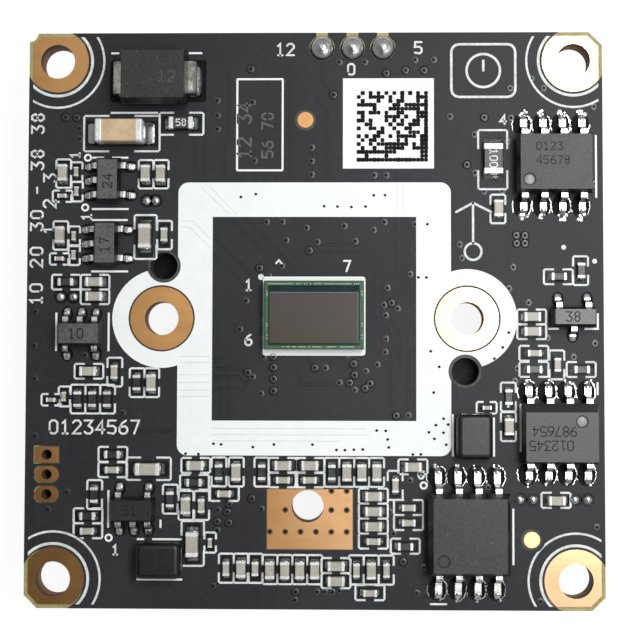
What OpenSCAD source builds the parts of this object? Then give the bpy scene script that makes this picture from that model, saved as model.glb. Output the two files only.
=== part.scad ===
// Camera module: a square circuit board with an image sensor at the middle of its front,
// the parts that feed and drive it around that, and its processor and plugs on the back.
// X runs to the right and Y up the front, +Z points out of the front. The origin is the
// middle of the four corner holes, on the back face.

/* [Board] */
// Width of the board, along X
board_w = 37.8; // [37.4:0.1:44]
// Depth of the board, along Y
board_d = 37.8; // [37.4:0.1:44]
// Thickness of the glass-fibre core
core_t = 1.5; // [0.8:0.1:2]
// Thickness of the copper and of the solder mask on each face
film_t = 0.05; // [0.02:0.01:0.1]
// Length that each cut-off corner takes from an edge
corner_cut = 0.85; // [0.2:0.05:1.2]
// Radius of the hollow that marks the first corner
notch_r = 0.56; // [0.2:0.02:0.9]
// Bare strip between the copper and the board's edge
edge_gap = 0.27; // [0.1:0.01:0.5]
// Gap between a pad and the mask around it
mask_gap = 0.07; // [0.04:0.01:0.15]
// Thickness of the copper inside a plated hole
plating_t = 0.03; // [0.02:0.01:0.08]

/* [Corner holes] */
// Distance between the corner holes, both ways
corner_pitch = 34; // [33:0.1:35]
// Bore of a corner hole
corner_bore = 2.25; // [1.8:0.05:2.8]
// Diameter of a corner pad
corner_pad = 4.1; // [3.4:0.05:4.6]

/* [Lens holder] */
// Distance between the two screw holes of the lens holder
lens_pitch = 20; // [18:0.1:21]
// Bore of a lens holder screw hole
lens_bore = 2.2; // [1.6:0.05:2.6]
// Diameter of the pad round a screw hole
lens_pad = 4.14; // [3.2:0.02:4.6]
// Bore of a locating hole
peg_bore = 1.8; // [1:0.05:2]
// Width of the bare rim round a locating hole
peg_rim = 0.17; // [0.16:0.01:0.3]
// Distance of a locating hole from the middle, along X
peg_x = 9.88; // [9.5:0.02:10.3]
// Distance of a locating hole from the middle, along Y
peg_y = 3.45; // [3.35:0.05:4]
// Outer side of the printed frame that the lens holder covers
frame_outer = 17.9; // [16.5:0.1:18]
// Inner side of that frame
frame_inner = 13.36; // [11:0.02:14.5]
// Corner radius of the frame
frame_r = 0.68; // [0.2:0.02:2]
// Diameter of the print round a screw hole
lobe_d = 6.5; // [5.5:0.1:6.6]

/* [Earth pad] */
// Width of the earth pad
earth_w = 5.57; // [4.5:0.01:5.6]
// Depth of the earth pad
earth_d = 3.88; // [3:0.01:4]
// Bore in the earth pad
earth_bore = 2.08; // [1:0.02:2.1]
// Bore of a small via in the earth pad
via_bore = 0.3; // [0.2:0.05:0.35]

/* [Image sensor] */
// Width of the sensor
sensor_w = 6.5; // [5.9:0.05:6.6]
// Depth of the sensor
sensor_d = 4.46; // [4.3:0.02:4.7]
// Thickness of the silicon
die_t = 0.35; // [0.2:0.05:0.6]
// Thickness of the frame between silicon and glass
dam_t = 0.05; // [0.03:0.01:0.15]
// Width of that frame
dam_w = 0.3; // [0.15:0.01:0.5]
// Thickness of the cover glass
glass_t = 0.4; // [0.2:0.05:0.8]
// Gap between the light-sensitive area and the frame at each side
pixels_side = 0.05; // [0.02:0.01:0.6]
// Gap between the light-sensitive area and the frame's lower edge
pixels_low = 0.11; // [0.02:0.01:0.6]
// Gap between the light-sensitive area and the frame's upper edge
pixels_high = 0.45; // [0.02:0.01:0.8]
// Height of a solder ball
ball_h = 0.22; // [0.1:0.02:0.4]

/* [Chips] */
// Length, width and height of a large ceramic capacitor
cap_xl = [3.1, 1.5, 1.4]; // [0.5:0.05:3.4]
// Length, width and height of a medium ceramic capacitor
cap_l = [1.6, 0.8, 0.8]; // [0.3:0.05:1.8]
// Length, width and height of a common ceramic capacitor
cap_m = [1.1, 0.62, 0.55]; // [0.3:0.01:1.2]
// Length, width and height of a small ceramic capacitor
cap_s = [0.9, 0.45, 0.42]; // [0.3:0.01:1]
// Length, width and height of a tiny ceramic capacitor
cap_xs = [0.6, 0.3, 0.3]; // [0.2:0.01:0.7]
// Length, width and height of a common resistor
res_m = [1, 0.5, 0.35]; // [0.2:0.01:1.1]
// Length, width and height of a medium resistor
res_l = [1.6, 0.8, 0.45]; // [0.3:0.01:1.7]
// Length, width and height of a large resistor
res_xl = [2, 1.25, 0.55]; // [0.4:0.01:2.2]
// Share of a chip's length that each metal end takes
end_share = 0.23; // [0.15:0.01:0.3]
// Thickness of the metal on a chip's end
end_t = 0.02; // [0.01:0.005:0.04]
// Length, width and height of a coil's case
coil = [2.9, 2.3, 1.2]; // [0.8:0.05:3]
// Corner radius of a coil's case
coil_r = 0.4; // [0.1:0.05:0.8]

/* [Solder] */
// Thickness of a land and the solder on it, under a part
land_t = 0.05; // [0.03:0.01:0.12]
// How far a solder fillet reaches past a small chip
fillet_l = 0.26; // [0.1:0.01:0.3]
// Height of a solder fillet as a share of the chip
fillet_share = 0.6; // [0.2:0.05:0.9]

/* [Eight-lead chips] */
// Length and width of a driver chip's body
driver = [4.9, 3.9]; // [3:0.05:5.2]
// Length and width of the memory chip's body
flash = [5.25, 5.25]; // [4:0.05:5.6]
// Height of a driver chip's body
driver_h = 1.45; // [1.1:0.05:1.8]
// Height of the memory chip's body
flash_h = 1.8; // [1.2:0.05:2.1]
// Span over the leads of a driver chip
driver_span = 6; // [5.4:0.05:6.6]
// Span over the leads of the memory chip
flash_span = 7.9; // [7.2:0.05:8.4]
// Distance between neighbouring leads
lead_pitch = 1.27; // [1.1:0.01:1.3]
// Width of a lead
lead_w = 0.42; // [0.3:0.01:0.6]
// Thickness of a lead
lead_t = 0.2; // [0.1:0.01:0.3]

/* [Small outline parts] */
// Length and width of a regulator's body
regulator = [2.9, 1.6]; // [1.4:0.05:3.1]
// Height of a regulator's body
regulator_h = 1; // [0.8:0.05:1.3]
// Span over a regulator's leads
regulator_span = 2.8; // [2.4:0.05:3.1]
// Length and width of the transistor's body
transistor = [2.9, 1.3]; // [1.1:0.05:3.1]
// Distance between neighbouring leads of a regulator
small_pitch = 0.95; // [0.8:0.01:1.05]
// Width of a small lead
small_lead_w = 0.38; // [0.25:0.01:0.5]
// Thickness of a small lead
small_lead_t = 0.13; // [0.08:0.01:0.2]
// Length and width of the diode's body
diode = [4.4, 3.4]; // [2.5:0.05:4.7]
// Height of the diode's body
diode_h = 2.1; // [1.6:0.05:2.5]
// Width of the diode's leads
diode_lead_w = 2.1; // [1.2:0.05:2.6]
// How far the diode's leads stand out at each end
diode_lead_out = 0.5; // [0.3:0.05:0.8]

/* [Back parts] */
// Side of the processor
processor = 12.8; // [10:0.1:12.8]
// Thickness of the processor
processor_t = 1; // [0.6:0.05:1.4]
// Width and length of the memory
memory = [7.5, 10.5]; // [6.8:0.1:11]
// Length and width of the network transformer's body
network = [9, 7]; // [5:0.1:9.4]
// Height of the network transformer's body
network_h = 2.4; // [1.5:0.1:3.5]
// Span over the network transformer's leads
network_span = 9.4; // [8.6:0.1:10]
// Distance between the pins of the three-way plug
plug_pitch = 2; // [1.5:0.05:2.2]
// Diameter of the plug pins' holes
plug_hole = 0.9; // [0.75:0.05:1]
// Side of a plug pin
plug_pin = 0.5; // [0.4:0.05:0.6]
// Height of the three-way plug and of the wafer plug below the board
plug_h = 4.8; // [4:0.1:6]
// Number of ways of the wafer plug
wafer_ways = 8; // [4:1:9]
// Distance between the wafer plug's pins
wafer_pitch = 1.25; // [1:0.05:1.5]

/* [Print] */
// Thickness of the white print
print_t = 0.02; // [0.01:0.005:0.05]
// Width of a printed line
line_w = 0.13; // [0.08:0.01:0.2]
// Side of the printed label field
label_side = 5.98; // [4.5:0.02:6.1]

/* [Hidden] */
$fn = 48;

// Heights: the back face is at zero and the front face at front_z.
front_z = core_t + 2 * film_t;
part_z = front_z + land_t;
// Extra length that a cutting tool runs past a face
over = 0.5;

// Places of like parts, as x, y and the turn about Z, in the positions of the layout.
corners = [for (x = [-1, 1], y = [-1, 1]) [x * corner_pitch / 2, y * corner_pitch / 2, 0]];
lens_screws = [for (x = [-1, 1]) [x * lens_pitch / 2, 0, 0]];
pegs = [[-peg_x, peg_y, 0], [peg_x, -peg_y, 0]];
fiducial_d = 1.04;
fiducial_ring = 0.18;
fiducial_at = [[-0.6, 13.1, 0], [14.15, -14.35, 0]];

earth_at = [-0.25, -13.07, 0];
earth_hole_at = [earth_at[0] - 0.14, earth_at[1] + 0.84, 0];
via_step = 1;
earth_vias = [
    for (i = [0 : 5]) [earth_at[0] - 2.6 + i * via_step, earth_at[1] - 0.83, 0],
    for (i = [1, 4, 5]) [earth_at[0] - 2.6 + i * via_step, earth_at[1] + 0.58, 0]
];

spare_pad = [1.6, 1.06];
spare_bore = 0.66;
spare_pitch = 1.29;
spare_at = [for (i = [0 : 2]) [-board_w / 2 + 1.43, -8.93 - i * spare_pitch, 0]];

plug_edge = 1.03;
dome_r = 0.78;
dome_h = 0.5;
pin_proud = 0.3;
plug_at = [for (i = [-1 : 1]) [2.5 + i * plug_pitch, board_d / 2 - plug_edge, 0]];

sensor_at = [0, 0.2, 0];
upper_driver_at = [15.6, 10.08, 0];
lower_driver_at = [15.88, -7.43, 180];
flash_at = [10, -13.9, 0];
diode_at = [-10.4, 15.65, 0];
transistor_at = [16.85, 0.1, 180];
// Regulators: x, y, and the turn that brings the side with three leads round
regulators_at = [[-13.45, 9.03, -90], [-13.6, 4.86, -90], [-15.25, -1.03, 180], [-11.7, -12.43, 0]];
coils_at = [[10.38, -7.65, 90], [-10.02, -15.68, 0]];

cap_xl_at = [[-12.72, 12.2, 0]];
cap_l_at = [[-11.1, 5.35, 90], [-10.78, -9.83, 0], [-7.87, -14.66, 90]];
row_step = 0.97;
cap_m_at = [
    [-16.55, 9.55, 90], [-16.7, 5.45, 90], [-11.1, 9.5, 90], [-10.1, 9.5, 90],
    [-14.4, 2.37, 0], [-14.4, 1.41, 0], [-14.75, -3.48, 0], [-10.62, -4.22, 90],
    [-7.7, -9.6, 0], [-8.32, -12.2, 90], [-5.05, -10.02, 90], [-2, -9.58, 0], [-0.25, -9.58, 0],
    for (i = [0 : 2]) [2.15 + i * row_step, -10.02, 90],
    for (i = [0 : 2]) [3.88, -11.55 - i * row_step, 0],
    [6.45, -9.65, 0], [-4.7, -16.25, 90],
    for (i = [0 : 3]) [-2.83 + i * row_step, -16.32, 90],
    [3.74, -16.32, 90], [1.46, -16.05, 0], [1.46, -17.02, 0],
    [15.72, -11.78, 0], [14.2, 0.12, 0], [14.2, -0.84, 0], [12.66, -7.02, 90], [12.03, 7.2, 90]
];
cap_s_at = [
    [-9.85, 5.48, 90], [-13.05, -3.53, 90], [-13.13, -9.9, 0], [-14.72, -13.87, 0],
    [-7.3, -12.2, 90], [-5.82, -11.42, 0], [-2, -10.52, 0], [-0.25, -10.52, 0],
    [5.3, -10.85, 90], [6.16, -12.28, 0], [6.16, -13.25, 0], [3.88, -14.46, 0],
    [-5.67, -16.25, 90], [-3.78, -16.25, 90], [2.78, -16.32, 90], [4.72, -16.32, 90],
    [3.66, -17.78, 0], [14.33, -2.25, 0], [15.82, -3, 90]
];
cap_xs_at = [
    [-15.68, 9.65, 90], [-15.65, 8.35, 90], [-16.6, 8.05, 0], [-15.8, 5.4, 90],
    [-15.8, 4.15, 90], [-16.75, 3.9, 0], [-17.2, -5.35, 0], [-16.35, -5.13, 90],
    [-6.73, -14.6, 90], [11.25, -5.8, 0]
];
res_m_at = [
    [-16.3, 2.37, 0], [-11.58, -4.22, 90],
    for (i = [0 : 2]) [-15.45 + i * row_step, -5.3, 90],
    [-13.13, -8.9, 0], [-7.78, -10.7, 0], [-9.35, -11.8, 90], [-14.3, -11.52, 90],
    [-14.72, -12.9, 0], [-6.18, -10.02, 90], [-3.38, -10.02, 90], [1.18, -10.02, 90],
    [5.95, -14.78, 0], [14.33, -3.3, 0], [17.4, -3.3, 0], [12.66, -5.1, 90],
    [15.95, 2.75, 0], [17.4, 3.15, 90]
];
res_l_at = [[-8.78, 12.85, 0]];
res_xl_at = [[11.7, 10.45, 90]];
// Lands with solder and no part on them
spare_lands_at = [
    [13.4, -11.75, 0], [14.25, -11.75, 0], [16.95, -11.75, 0], [17.8, -11.75, 0],
    [-16.65, 1.41, 0], [-15.8, 1.41, 0], [-11.05, 7.75, 0], [-10.45, 7.75, 0]
];
spare_land_r = 0.27;

// Chips with an end at each side: where they are, their size, the reach of their fillets,
// the room inside their printed outline along and across, and the gap in its long sides.
outline_m = [1.88, 0.97];
chips = [
    [cap_xl_at, cap_xl, 2.4 * fillet_l, [5, 2.35], 1.66],
    [cap_l_at, cap_l, 1.6 * fillet_l, [2.9, 1.46], 1],
    [cap_m_at, cap_m, fillet_l, outline_m, 0.55],
    [cap_s_at, cap_s, fillet_l, outline_m, 0.55],
    [cap_xs_at, cap_xs, fillet_l / 2, [1.3, 0.75], 0.4],
    [res_m_at, res_m, fillet_l, outline_m, 0.55],
    [res_l_at, res_l, 1.6 * fillet_l, [2.9, 1.46], 1],
    [res_xl_at, res_xl, 2.4 * fillet_l, [3.9, 1.9], 1.4]
];

// Shape of the leads: bend, slope and stand-off
bend_r = 0.12;
bend_steps = 4;
lead_slope = 78;
shoulder = 0.2;
stand = 0.12;
driver_rise = 0.85;
flash_rise = 1;
small_rise = 0.6;
draft = 0.17;
flash_draft = 0.28;

// Back parts
back_ball_pitch = 0.8;
processor_at = [0, 0, 0];
memory_at = [-10.3, 7.7, 0];
network_at = [12.3, -5.95, 90];
crystal_size = [3.2, 2.5, 0.7];
crystal_at = [4.4, -9.6, 0];
plug_depth = 4.5;
plug_wall = 0.7;
wafer_depth = 4.2;
wafer_wall = 0.7;
wafer_y = -board_d / 2 + 0.4 + wafer_depth / 2;
wafer_pin = 0.32;

// Puts its children at each place of a list, at height z.
module place(spots, z = 0) {
    for (s = spots) translate([s[0], s[1], z]) rotate(s[2]) children();
}

// A flat layer of its children's outline.
module layer(z, t) {
    translate([0, 0, z]) linear_extrude(t) children();
}

// A box that stands on z = 0, in the middle of x and y.
module block(size) {
    translate([-size[0] / 2, -size[1] / 2, 0]) cube(size);
}

module rounded_rect(w, d, r) {
    square([w - 2 * r, d], center = true);
    square([w, d - 2 * r], center = true);
    for (x = [-1, 1], y = [-1, 1]) translate([x * (w / 2 - r), y * (d / 2 - r)]) circle(r);
}

// The board's edge, drawn in by inset all round.
module board_outline(inset = 0) {
    w = board_w / 2 - inset;
    d = board_d / 2 - inset;
    c = corner_cut - inset * (2 - sqrt(2));
    difference() {
        polygon([[-w, d], [w - c, d], [w, d - c], [w, c - d], [w - c, -d], [c - w, -d], [-w, c - d]]);
        translate([-board_w / 2, board_d / 2]) circle(notch_r + inset);
    }
}

// Everything that is drilled through the core, with extra on the radius.
module drills(extra) {
    place(corners) circle(d = corner_bore + 2 * extra);
    place(lens_screws) circle(d = lens_bore + 2 * extra);
    place([earth_hole_at]) circle(d = earth_bore + 2 * extra);
    place(spare_at) circle(d = spare_bore + 2 * extra);
}

module core() {
    color("tan") layer(film_t, core_t) difference() {
        board_outline();
        drills(plating_t);
        place(pegs) circle(d = peg_bore);
        place(plug_at) circle(d = plug_hole);
        place(earth_vias) circle(d = via_bore, $fn = 16);
    }
}

// The corners round the corner holes, widened by grow, out to the edges and past them.
module corner_areas(grow) {
    w = board_w - corner_pitch;
    d = board_d - corner_pitch;
    for (s = corners) translate([s[0], s[1]]) {
        circle(d = corner_pad + 2 * grow);
        translate([s[0] > 0 ? 0 : -w, s[1] > 0 ? 0 : -d]) square([w, d]);
    }
}

module spare_outline(i, grow) {
    w = spare_pad[0] + 2 * grow;
    d = spare_pad[1] + 2 * grow;
    if (i == 0) square([w, d], center = true);
    else rounded_rect(w, d, d / 2 - 0.01);
}

// Openings that both faces have.
module common_openings() {
    corner_areas(mask_gap);
    place(lens_screws) circle(d = lens_pad + 2 * mask_gap);
    place(pegs) circle(d = peg_bore + 2 * peg_rim);
    for (i = [0 : 2]) place([spare_at[i]]) spare_outline(i, mask_gap);
    place(plug_at) circle(r = dome_r + mask_gap);
}

module front_mask() {
    color("#3c3e40") layer(film_t + core_t, film_t) difference() {
        board_outline();
        common_openings();
        place([earth_at]) square([earth_w + 2 * mask_gap, earth_d + 2 * mask_gap], center = true);
        place(fiducial_at) circle(d = fiducial_d + 2 * fiducial_ring);
        place(plug_at) translate([-dome_r / 2, 0]) square([dome_r, plug_edge + over]);
    }
}

module back_mask() {
    color("#3c3e40") layer(0, film_t) difference() {
        board_outline();
        common_openings();
        place([earth_hole_at]) circle(d = earth_bore + 2 * earth_ring + 2 * mask_gap);
    }
}

// A pad on each face and the plated bore between them. The child is the pad's outline.
module plated_pad(bore) {
    difference() {
        union() {
            layer(0, film_t) children();
            layer(film_t, core_t) circle(d = bore + 2 * plating_t);
            layer(film_t + core_t, film_t) children();
        }
        translate([0, 0, -over]) cylinder(d = bore, h = front_z + 2 * over);
    }
}

module corner_pads() {
    color("#c08a4e") difference() {
        for (z = [0, film_t + core_t]) layer(z, film_t) intersection() {
            corner_areas(0);
            board_outline(edge_gap);
        }
        place(corners, -over) cylinder(d = corner_bore, h = front_z + 2 * over);
    }
    color("#c08a4e") layer(film_t, core_t) place(corners) difference() {
        circle(d = corner_bore + 2 * plating_t);
        circle(d = corner_bore);
    }
}

module lens_screw_pads() {
    color("#d6a468") place(lens_screws) plated_pad(lens_bore) circle(d = lens_pad);
}

earth_ring = 0.3;
module earth_pad() {
    color("#cf9d5c") difference() {
        union() {
            place([earth_at], front_z - film_t)
                translate([-earth_w / 2, -earth_d / 2, 0]) cube([earth_w, earth_d, film_t]);
            place([earth_hole_at]) cylinder(d = earth_bore + 2 * plating_t, h = front_z);
            place([earth_hole_at]) cylinder(d = earth_bore + 2 * earth_ring, h = film_t);
        }
        place([earth_hole_at], -over) cylinder(d = earth_bore, h = front_z + 2 * over);
        place(earth_vias, front_z - film_t - over)
            cylinder(d = via_bore, h = film_t + 2 * over, $fn = 16);
    }
}

module fiducials() {
    color("#f3c89a") place(fiducial_at, front_z - film_t) cylinder(d = fiducial_d, h = film_t);
}

module spare_header_pads() {
    color("#a9794a") for (i = [0 : 2]) place([spare_at[i]]) plated_pad(spare_bore) spare_outline(i, 0);
}

// ---- Print on the front ----

// The area that the lens holder covers.
module frame_area() {
    rounded_rect(frame_outer, frame_outer, frame_r);
    place(lens_screws) circle(d = lobe_d);
}

module lens_frame_print() {
    color("white") layer(front_z, print_t) difference() {
        frame_area();
        square(frame_inner, center = true);
        place(lens_screws) circle(d = lens_pad + 2 * mask_gap + 0.08);
        place(pegs) circle(d = peg_bore + 2 * peg_rim + 0.08);
    }
}

inner_ring_w = 0.18;
outer_ring_w = 0.14;
outer_ring_r = 3.08;
module ring(r, w) {
    difference() {
        circle(r + w / 2);
        circle(r - w / 2);
    }
}

module corner_ring_print() {
    inner_ring_r = corner_pad / 2 + mask_gap + inner_ring_w;
    color("white") layer(front_z, print_t) difference() {
        intersection() {
            place(corners) {
                ring(inner_ring_r, inner_ring_w);
                ring(outer_ring_r, outer_ring_w);
            }
            square([board_w - 2 * edge_gap, board_d - 2 * edge_gap], center = true);
        }
        corner_areas(mask_gap);
        place([fiducial_at[1]]) circle(d = fiducial_d + 2 * fiducial_ring + 0.3);
    }
}

// The label lies between the frame and the plug's joints, nearer to the frame.
label_share = 0.425;
label_room = board_d / 2 - plug_edge - dome_r - frame_outer / 2 - label_side;
label_at = [4.86, frame_outer / 2 + label_share * label_room + label_side / 2, 0];
module label_print() {
    color("white") place([label_at], front_z) block([label_side, label_side, print_t]);
}

// One of the two brackets round a chip's ends: a U with clipped corners.
module bracket(l, w, arm) {
    t = line_w;
    k = line_w;
    x = l / 2 + t / 2;
    y = w / 2 + t / 2;
    polygon([
        [x - arm, y], [x - k, y], [x, y - k], [x, k - y], [x - k, -y], [x - arm, -y],
        [x - arm, t - y], [x - k, t - y], [x - t, k - y], [x - t, y - k], [x - k, y - t], [x - arm, y - t]
    ]);
}

module brackets(size, gap) {
    for (turn = [0, 180]) rotate(turn) bracket(size[0], size[1], size[0] / 2 - gap / 2 + line_w / 2);
}

// The chips' outlines leave off at lands, at the rings of the corner holes and at the frame.
land_gap = 0.06;
module chip_outline_print() {
    color("white") layer(front_z, print_t) difference() {
        for (c = chips) place(c[0]) brackets(c[3], c[4]);
        for (c = chips) place(c[0])
            square([c[1][0] + 2 * c[2] + 2 * land_gap, c[1][1] + 2 * land_gap], center = true);
        place(spare_lands_at) circle(spare_land_r + land_gap);
        place(coils_at) square([coil[0] + 2 * land_gap, coil[1] + 2 * land_gap], center = true);
        place(corners) circle(outer_ring_r + outer_ring_w / 2 + land_gap);
        frame_area();
    }
}

// A printed line between two points.
module stroke(x1, y1, x2, y2, w = line_w) {
    translate([x1, y1]) rotate(atan2(y2 - y1, x2 - x1)) translate([-w / 2, -w / 2])
        square([norm([x2 - x1, y2 - y1]) + w, w]);
}

// Lines beside the larger parts, as x and y of both ends.
strokes = [
    [18.45, 12, 18.45, 8], [13.45, -5.6, 13.45, -8.6], [18.45, -4.2, 18.45, -4.9],
    [12.95, -12.4, 12.95, -15.9], [-13.4, 17.55, -13, 17.55], [-8.25, 17.55, -7.5, 17.55],
    [-13.4, 13.58, -10.4, 13.58], [-14.6, 10.6, -13.95, 10.6], [-13.3, 10.6, -12.35, 10.6],
    [-14.6, 7.2, -12.3, 7.2], [-14.6, 6.47, -12.35, 6.47], [-14.6, 3.08, -12.3, 3.08],
    [-16.93, 0.3, -16.93, -2.1], [-13.48, 0.3, -13.48, -2.1], [-13.4, -11.3, -13.4, -13.6],
    [-9.98, -13.2, -9.98, -13.6], [-11.45, -14.4, -11.1, -14.4], [-10.45, -14.4, -8.65, -14.4],
    [-11.45, -17, -8.6, -17], [9.05, -6.3, 9.05, -8.9], [11.72, -6.5, 11.72, -8.9],
    [18.5, 0.3, 18.5, -0.65], [18.5, -0.65, 17.7, -0.65], [15.35, -0.65, 15.9, -0.65]
];
pin_marks = [[-14.95, 10.6, 0], [-15.1, 7.3, 0], [-13.36, -14.32, 0], [7.15, -10.85, 0]];
text_box = [3, 6.05];
text_box_at = [-3.6, 12.78, 0];
sensor_border = [6.72, 5.18];
module part_outline_print() {
    color("white") layer(front_z, print_t) {
        for (s = strokes) stroke(s[0], s[1], s[2], s[3]);
        place(pin_marks) ring(0.2, line_w);
        place([text_box_at]) difference() {
            rounded_rect(text_box[0] + line_w, text_box[1] + line_w, line_w);
            square([text_box[0] - line_w, text_box[1] - line_w], center = true);
        }
        translate([sensor_at[0], sensor_at[1] - 0.04]) difference() {
            rounded_rect(sensor_border[0], sensor_border[1], 0.2);
            square([sensor_w - 0.3, sensor_d - 0.1], center = true);
        }
    }
}

// ---- Image sensor: solder balls, silicon, pixel field, frame and cover glass ----

module balls(columns, rows, pitch, edge_rows, r, h) {
    for (i = [0 : columns - 1], j = [0 : rows - 1])
        if (min(i, j, columns - 1 - i, rows - 1 - j) < edge_rows)
            translate([(i - (columns - 1) / 2) * pitch, (j - (rows - 1) / 2) * pitch, 0])
                cylinder(r = r, h = h, $fn = 16);
}

sensor_z = front_z + ball_h;
sensor_ball_pitch = 0.5;
module sensor_balls() {
    color("silver") place([sensor_at], front_z)
        balls(floor((sensor_w - 0.6) / sensor_ball_pitch) + 1, floor((sensor_d - 0.6) / sensor_ball_pitch) + 1,
            sensor_ball_pitch, 2, 0.13, ball_h);
}

module sensor_die() {
    color("#15303a") place([sensor_at], sensor_z) block([sensor_w, sensor_d, die_t]);
}

// The pixel field lies in the frame, off the middle, towards the lower edge.
pixels_t = 0.01;
module sensor_pixels() {
    w = sensor_w - 2 * (dam_w + pixels_side);
    d = sensor_d - 2 * dam_w - pixels_low - pixels_high;
    color("#5c4f55") place([sensor_at], sensor_z + die_t)
        translate([0, (pixels_low - pixels_high) / 2, 0]) block([w, d, pixels_t]);
}

module sensor_dam() {
    color("#3f6b42") place([sensor_at], sensor_z + die_t) linear_extrude(dam_t) difference() {
        square([sensor_w, sensor_d], center = true);
        square([sensor_w - 2 * dam_w, sensor_d - 2 * dam_w], center = true);
    }
}

module sensor_glass() {
    color("lightblue", 0.4) place([sensor_at], sensor_z + die_t + dam_t)
        block([sensor_w, sensor_d, glass_t]);
}

// ---- Moulded bodies and their bent leads ----

// A side view of a moulded body: tapered by d above and below an upright band at the leads.
module mould_profile(l, h, band_z, band_t, d) {
    x = l / 2;
    polygon([
        [d - x, 0], [x - d, 0], [x, band_z - band_t / 2], [x, band_z + band_t / 2],
        [x - d, h], [d - x, h], [-x, band_z + band_t / 2], [-x, band_z - band_t / 2]
    ]);
}

// A moulded body of size l by w, h high, whose leads leave it at band_z.
module moulded(l, w, h, band_z, band_t, d = draft) {
    translate([0, 0, stand]) intersection() {
        rotate([90, 0, 0]) linear_extrude(w + over, center = true)
            mould_profile(l, h, band_z - stand, band_t, d);
        rotate([90, 0, 90]) linear_extrude(l + over, center = true)
            mould_profile(w, h, band_z - stand, band_t, d);
    }
}

// Stations of a gull-wing lead's middle line, as x, z and the angle that it falls at.
// It leaves the body level, bends down, runs down the slope and bends out to its foot.
function lead_stations(reach, rise, t) =
    let (
        a = lead_slope,
        drop = rise - t / 2 - 2 * bend_r * (1 - cos(a)),
        x2 = shoulder + 2 * bend_r * sin(a) + drop / tan(a)
    )
    concat(
        [[0, rise, 0]],
        [for (k = [0 : bend_steps]) let (b = a * k / bend_steps)
            [shoulder + bend_r * sin(b), rise - bend_r * (1 - cos(b)), b]],
        [for (k = [0 : bend_steps]) let (b = a * (1 - k / bend_steps))
            [x2 - bend_r * sin(b), t / 2 + bend_r * (1 - cos(b)), b]],
        [[reach, t / 2, 0]]
    );

// One lead, width w and thickness t, from the body's side at x = 0 to its toe at reach.
module lead(reach, rise, w, t) {
    s = lead_stations(reach, rise, t);
    n = len(s);
    upper = [for (i = [0 : n - 1]) [s[i][0] + t / 2 * sin(s[i][2]), s[i][1] + t / 2 * cos(s[i][2])]];
    lower = [for (i = [n - 1 : -1 : 0]) [s[i][0] - t / 2 * sin(s[i][2]), s[i][1] - t / 2 * cos(s[i][2])]];
    rotate([90, 0, 0]) linear_extrude(w, center = true) polygon(concat(upper, lower));
}

// Both rows of leads of a chip, ways in a row, along the sides that face Y.
module lead_rows(ways, body_w, span, rise) {
    for (side = [-1, 1], i = [0 : ways - 1])
        translate([(i - (ways - 1) / 2) * lead_pitch, side * body_w / 2, 0]) rotate(side * 90)
            lead((span - body_w) / 2, rise, lead_w, lead_t);
}

// A body with a round hollow beside its first lead, at mark from that corner.
pin_mark_d = 0.75;
pin_mark_deep = 0.08;
module eight_lead_body(size, h, rise, mark, d = draft) {
    difference() {
        moulded(size[0], size[1], h, rise, lead_t, d);
        translate([mark[0] - size[0] / 2, mark[1] - size[1] / 2, stand + h - pin_mark_deep])
            cylinder(d = pin_mark_d, h = over);
    }
}

module upper_driver_body() {
    color("#666666") place([upper_driver_at], part_z)
        eight_lead_body(driver, driver_h, driver_rise, [0.75, 0.8]);
}

module upper_driver_leads() {
    color("silver") place([upper_driver_at], part_z) lead_rows(4, driver[1], driver_span, driver_rise);
}

// This one's top edge is bevelled along the side of its first lead, down to a narrow lip.
bevel_lip = 0.05;
module lower_driver_body() {
    edge = draft - driver[1] / 2;
    bevel = driver_h + stand - driver_rise - lead_t / 2 - draft - bevel_lip;
    color("#6a6a6a") place([lower_driver_at], part_z) difference() {
        eight_lead_body(driver, driver_h, driver_rise, [1.17, 1.15]);
        translate([0, 0, stand]) rotate([90, 0, 90]) linear_extrude(driver[0] + over, center = true)
            polygon([
                [edge + bevel + over, driver_h + over], [edge - over, driver_h + over],
                [edge - over, driver_h - bevel - over]
            ]);
    }
}

module lower_driver_leads() {
    color("silver") place([lower_driver_at], part_z) lead_rows(4, driver[1], driver_span, driver_rise);
}

module flash_body() {
    color("#5f5f5f") place([flash_at], part_z)
        eight_lead_body(flash, flash_h, flash_rise, [0.95, 1.03], flash_draft);
}

module flash_leads() {
    color("silver") place([flash_at], part_z) lead_rows(4, flash[1], flash_span, flash_rise);
}

module regulator_bodies() {
    color("#3e3f40") place(regulators_at, part_z)
        moulded(regulator[0], regulator[1], regulator_h, small_rise, small_lead_t);
}

// Three leads on the side that faces -Y and two on the other.
five_leads = [[-1, -1], [0, -1], [1, -1], [-1, 1], [1, 1]];
module small_leads(spots, body_w, span) {
    for (s = spots) translate([s[0] * small_pitch, s[1] * body_w / 2, 0]) rotate(s[1] * 90)
        lead((span - body_w) / 2, small_rise, small_lead_w, small_lead_t);
}

module regulator_leads() {
    color("silver") place(regulators_at, part_z) small_leads(five_leads, regulator[1], regulator_span);
}

three_leads = [[-1, -1], [1, -1], [0, 1]];
module transistor_body() {
    color("#5a5a5a") place([transistor_at], part_z)
        moulded(transistor[0], transistor[1], regulator_h, small_rise, small_lead_t);
}

module transistor_leads() {
    span = transistor[1] + regulator_span - regulator[1];
    color("silver") place([transistor_at], part_z) small_leads(three_leads, transistor[1], span);
}

diode_lead_t = 0.2;
diode_rise = 1.1;
diode_foot = 1.2;
module diode_body() {
    color("#454646") place([diode_at], part_z + diode_lead_t - stand)
        moulded(diode[0], diode[1], diode_h, diode_rise, diode_lead_t);
}

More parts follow.
